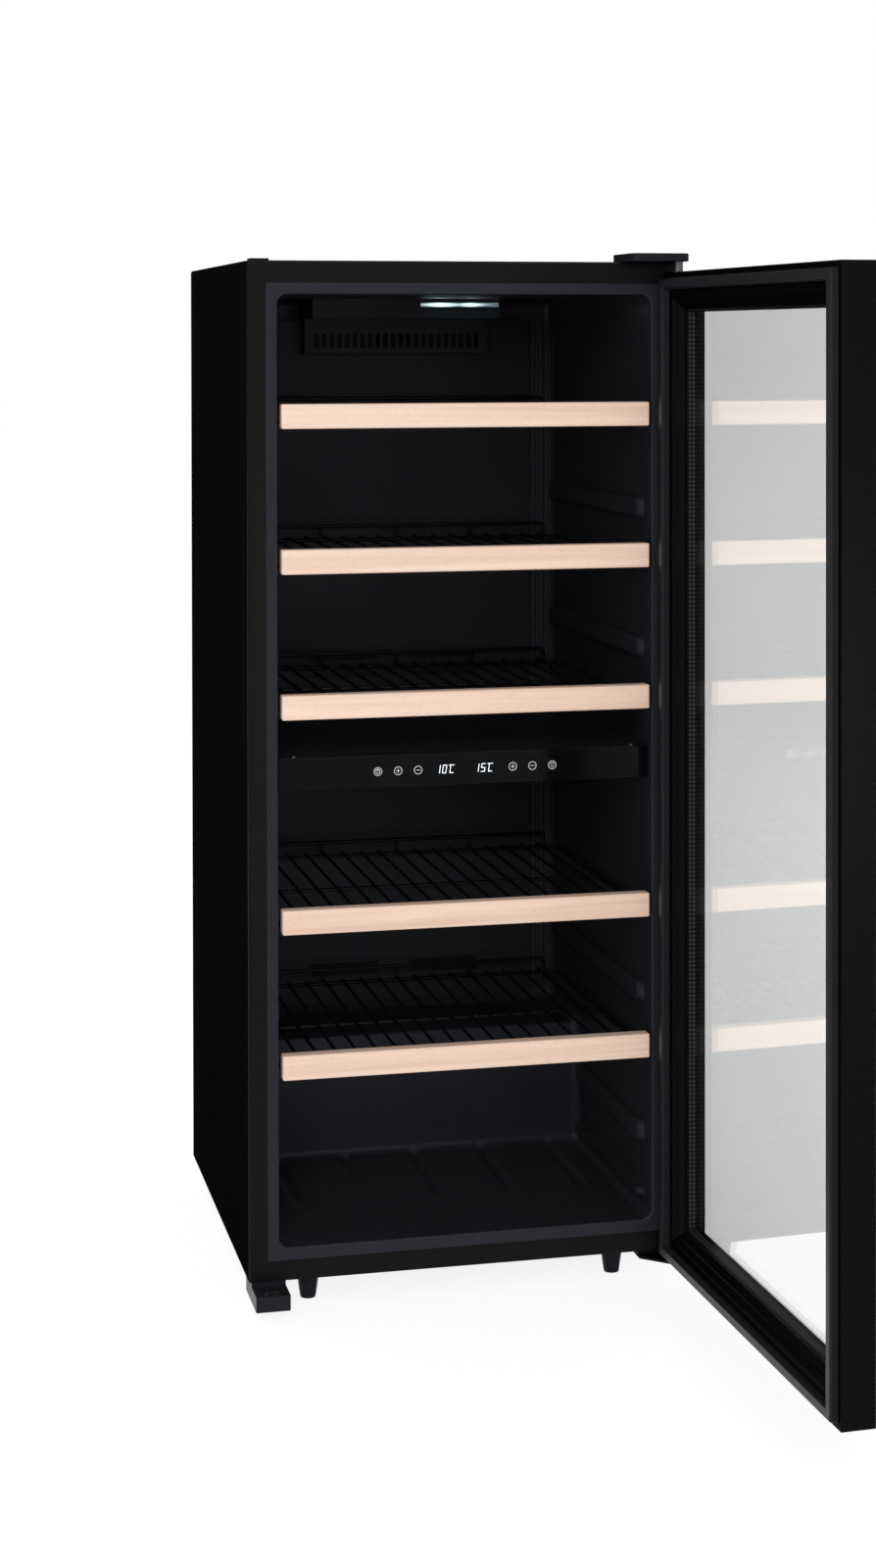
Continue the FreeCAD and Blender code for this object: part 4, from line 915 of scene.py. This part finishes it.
def spacer_bar():
    """Black bar between the panes, with a row of breathing holes along its middle."""
    material, place = start_finish("spacer_bar")
    shut = place.node("Mapping", (), {"Vector": place, "Rotation": (0, 0, -DOOR_OPEN)})
    spots = place.node("Mapping", (), {"Vector": shut, "Scale": (HOLES_PER_METRE,) * 3})
    wave = place.node("TexVoronoi", {"feature": "F1"}, {"Vector": spots, "Scale": 1.0,
                                                        "Randomness": 0.0})
    holes = wave < HOLE_SIZE
    colour = blend_colours(holes, (0.006, 0.006, 0.007, 1), (0.05, 0.05, 0.055, 1))
    return end_finish(material, place.node("BsdfPrincipled", (), {
        "Base Color": colour, "Roughness": 0.6, "Specular IOR Level": 0.15}))


door_paint = satin_black("door_paint", 0.0014, 0.34, 0.24, fade=2.4)
gasket_rubber = rubber()
bare_pane = clear_glass("bare_pane", 0.004, 12)
coated_pane = clear_glass("coated_pane", 0.06, 3.1)

frame_form = mitred_ring([(0, 0), (20, 0), (20, 28.2), (49, 28.2), (49, 30.5), (39, 40.5),
                          (0, 40.5)])
round_edges(frame_form, lengthwise(frame_form), FRAME_ROUND, 3)
door_bars = finished("door_bars", swung(frame_form), "door", door_paint)


def cut_away(piece, cutter_form):
    """Cut a pocket out of a piece, and leave no cutter behind."""
    mesh = bpy.data.meshes.new("cutter")
    cutter_form.to_mesh(mesh)
    cutter_form.free()
    cutter = bpy.data.objects.new("cutter", mesh)
    bpy.context.scene.collection.objects.link(cutter)
    hollow = piece.modifiers.new("pocket", "BOOLEAN")
    hollow.operation = "DIFFERENCE"
    hollow.solver = "EXACT"
    hollow.object = cutter
    piece.modifiers.move(len(piece.modifiers) - 1, 0)
    evened = piece.modifiers["even_shading"]
    evened.show_viewport = False
    bpy.context.view_layer.update()
    graph = bpy.context.evaluated_depsgraph_get()
    solid = bpy.data.meshes.new_from_object(piece.evaluated_get(graph))
    piece.modifiers.remove(hollow)
    evened.show_viewport = True
    piece.data = solid
    bpy.data.objects.remove(cutter)


POCKET = 0.0022
POCKET_AHEAD = 0.0065
POCKET_ABOVE = 0.003
POCKET_BELOW = 0.01
cam_low, cam_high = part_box("lock_cam")
cut_away(door_bars, block(
    (cam_low.x - POCKET, cam_low.y - POCKET_AHEAD - POCKET, DOOR_LOW - POCKET_BELOW),
    (cam_high.x + POCKET, cam_high.y + POCKET, cam_high.z + POCKET_ABOVE)))
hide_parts("door_frame")

bead = mitred_ring([(20.2, 0), (22, 0), (22, 0.8), (24, 0.8), (24, 0), (31.6, 0),
                    (38, 5.2), (39, 5.2), (46, 12), (20.2, 12)])
round_edges(bead, lengthwise(bead), BEAD_ROUND, 2)
glazing_bead = finished("splayed_bead", swung(bead), "door", door_paint)
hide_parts("glazing_bead")

gasket = mitred_ring([(7, 0), (7, -1.4), (8.6, -2), (8.6, -2.9), (7.4, -3.6), (7.4, -4.4),
                      (9.2, -5), (8.6, -5.6), (8.6, -8.4), (9.4, -9.2), (18.6, -9.2),
                      (19.4, -8.4), (19.4, -5.6), (18.8, -5), (20.6, -4.4), (20.6, -3.6),
                      (19.4, -2.9), (19.4, -2), (21, -1.4), (21, 0)])
round_edges(gasket, lengthwise(gasket), GASKET_ROUND, 2)
bellows = finished("bellows_gasket", swung(gasket), "door", gasket_rubber)
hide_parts("door_gasket")
dress("inner_glass", bare_pane)
dress("outer_glass", coated_pane)
dress("glass_spacer", spacer_bar())


# ---- Handle and lock: a black tube on two stand-offs down the free side, and a plated
# cam lock in the bottom rail whose arm turns down into the catch under the cabinet.
def plug_brass():
    material, place = start_finish("plug_brass")
    turned = place.node("TexNoise", (), {"Vector": place, "Scale": 800.0})
    colour = blend_colours(turned, (0.62, 0.46, 0.22, 1), (0.78, 0.62, 0.36, 1))
    return end_finish(material, place.node("BsdfPrincipled", (), {
        "Base Color": colour, "Metallic": 1.0, "Roughness": turned * 0.15 + 0.25}))


handle_paint = satin_black("handle_paint", 0.0026, 0.3, 0.5)
dress("door_handle", handle_paint)
for node in ("handle_screws", "lock_body", "lock_cam", "door_bushes", "hinge_pins",
             "cabinet_screws", "strike_plate"):
    dress(node, screw_steel)
dress("lock_plug", plug_brass())


# ---- Hinges, covers and catch: a steel plate on the roof under a moulded cover, a cast
# tongue under the cabinet, and the recessed block that the shut door locks into.
eased("roof_hinge_plate", "top_hinge_plate", 0.0005, shell_paint)
eased("roof_hinge_cover", "hinge_cover", 0.0018, cover_plastic)
eased("roof_blank_cover", "blank_cover", 0.0008, cover_plastic)
eased("floor_hinge", "bottom_hinge", 0.0008, shell_paint)
eased("catch_block", "catch_bracket", 0.0012, cover_plastic)


# ---- Levelling feet: fluted plastic cones, each moulded round a zinc stud. The stud
# screws into a nut welded under the base, and the cone is turned by hand to level it.
foot_plastic = moulded_black("foot_plastic", 0.007, 0.42, 0.4)
for corner in ("front_left", "rear_left", "front_right", "rear_right"):
    dress("foot_" + corner, foot_plastic)


# ---- Cooling circuit at the back: an enamelled compressor on its pan, a plastic drip
# tray over it, the black condenser of bent tube and wire, and the mains inlet.
enamel = satin_black("enamel", 0.002, 0.2, 0.5, 0.04, 0)
condenser_black = satin_black("condenser_black", 0.003, 0.34, 0.5, 0.05, 0)
dress("compressor", enamel)
dress("drip_tray", foot_plastic)
dress("condenser", condenser_black)
dress("mains_inlet", foot_plastic)
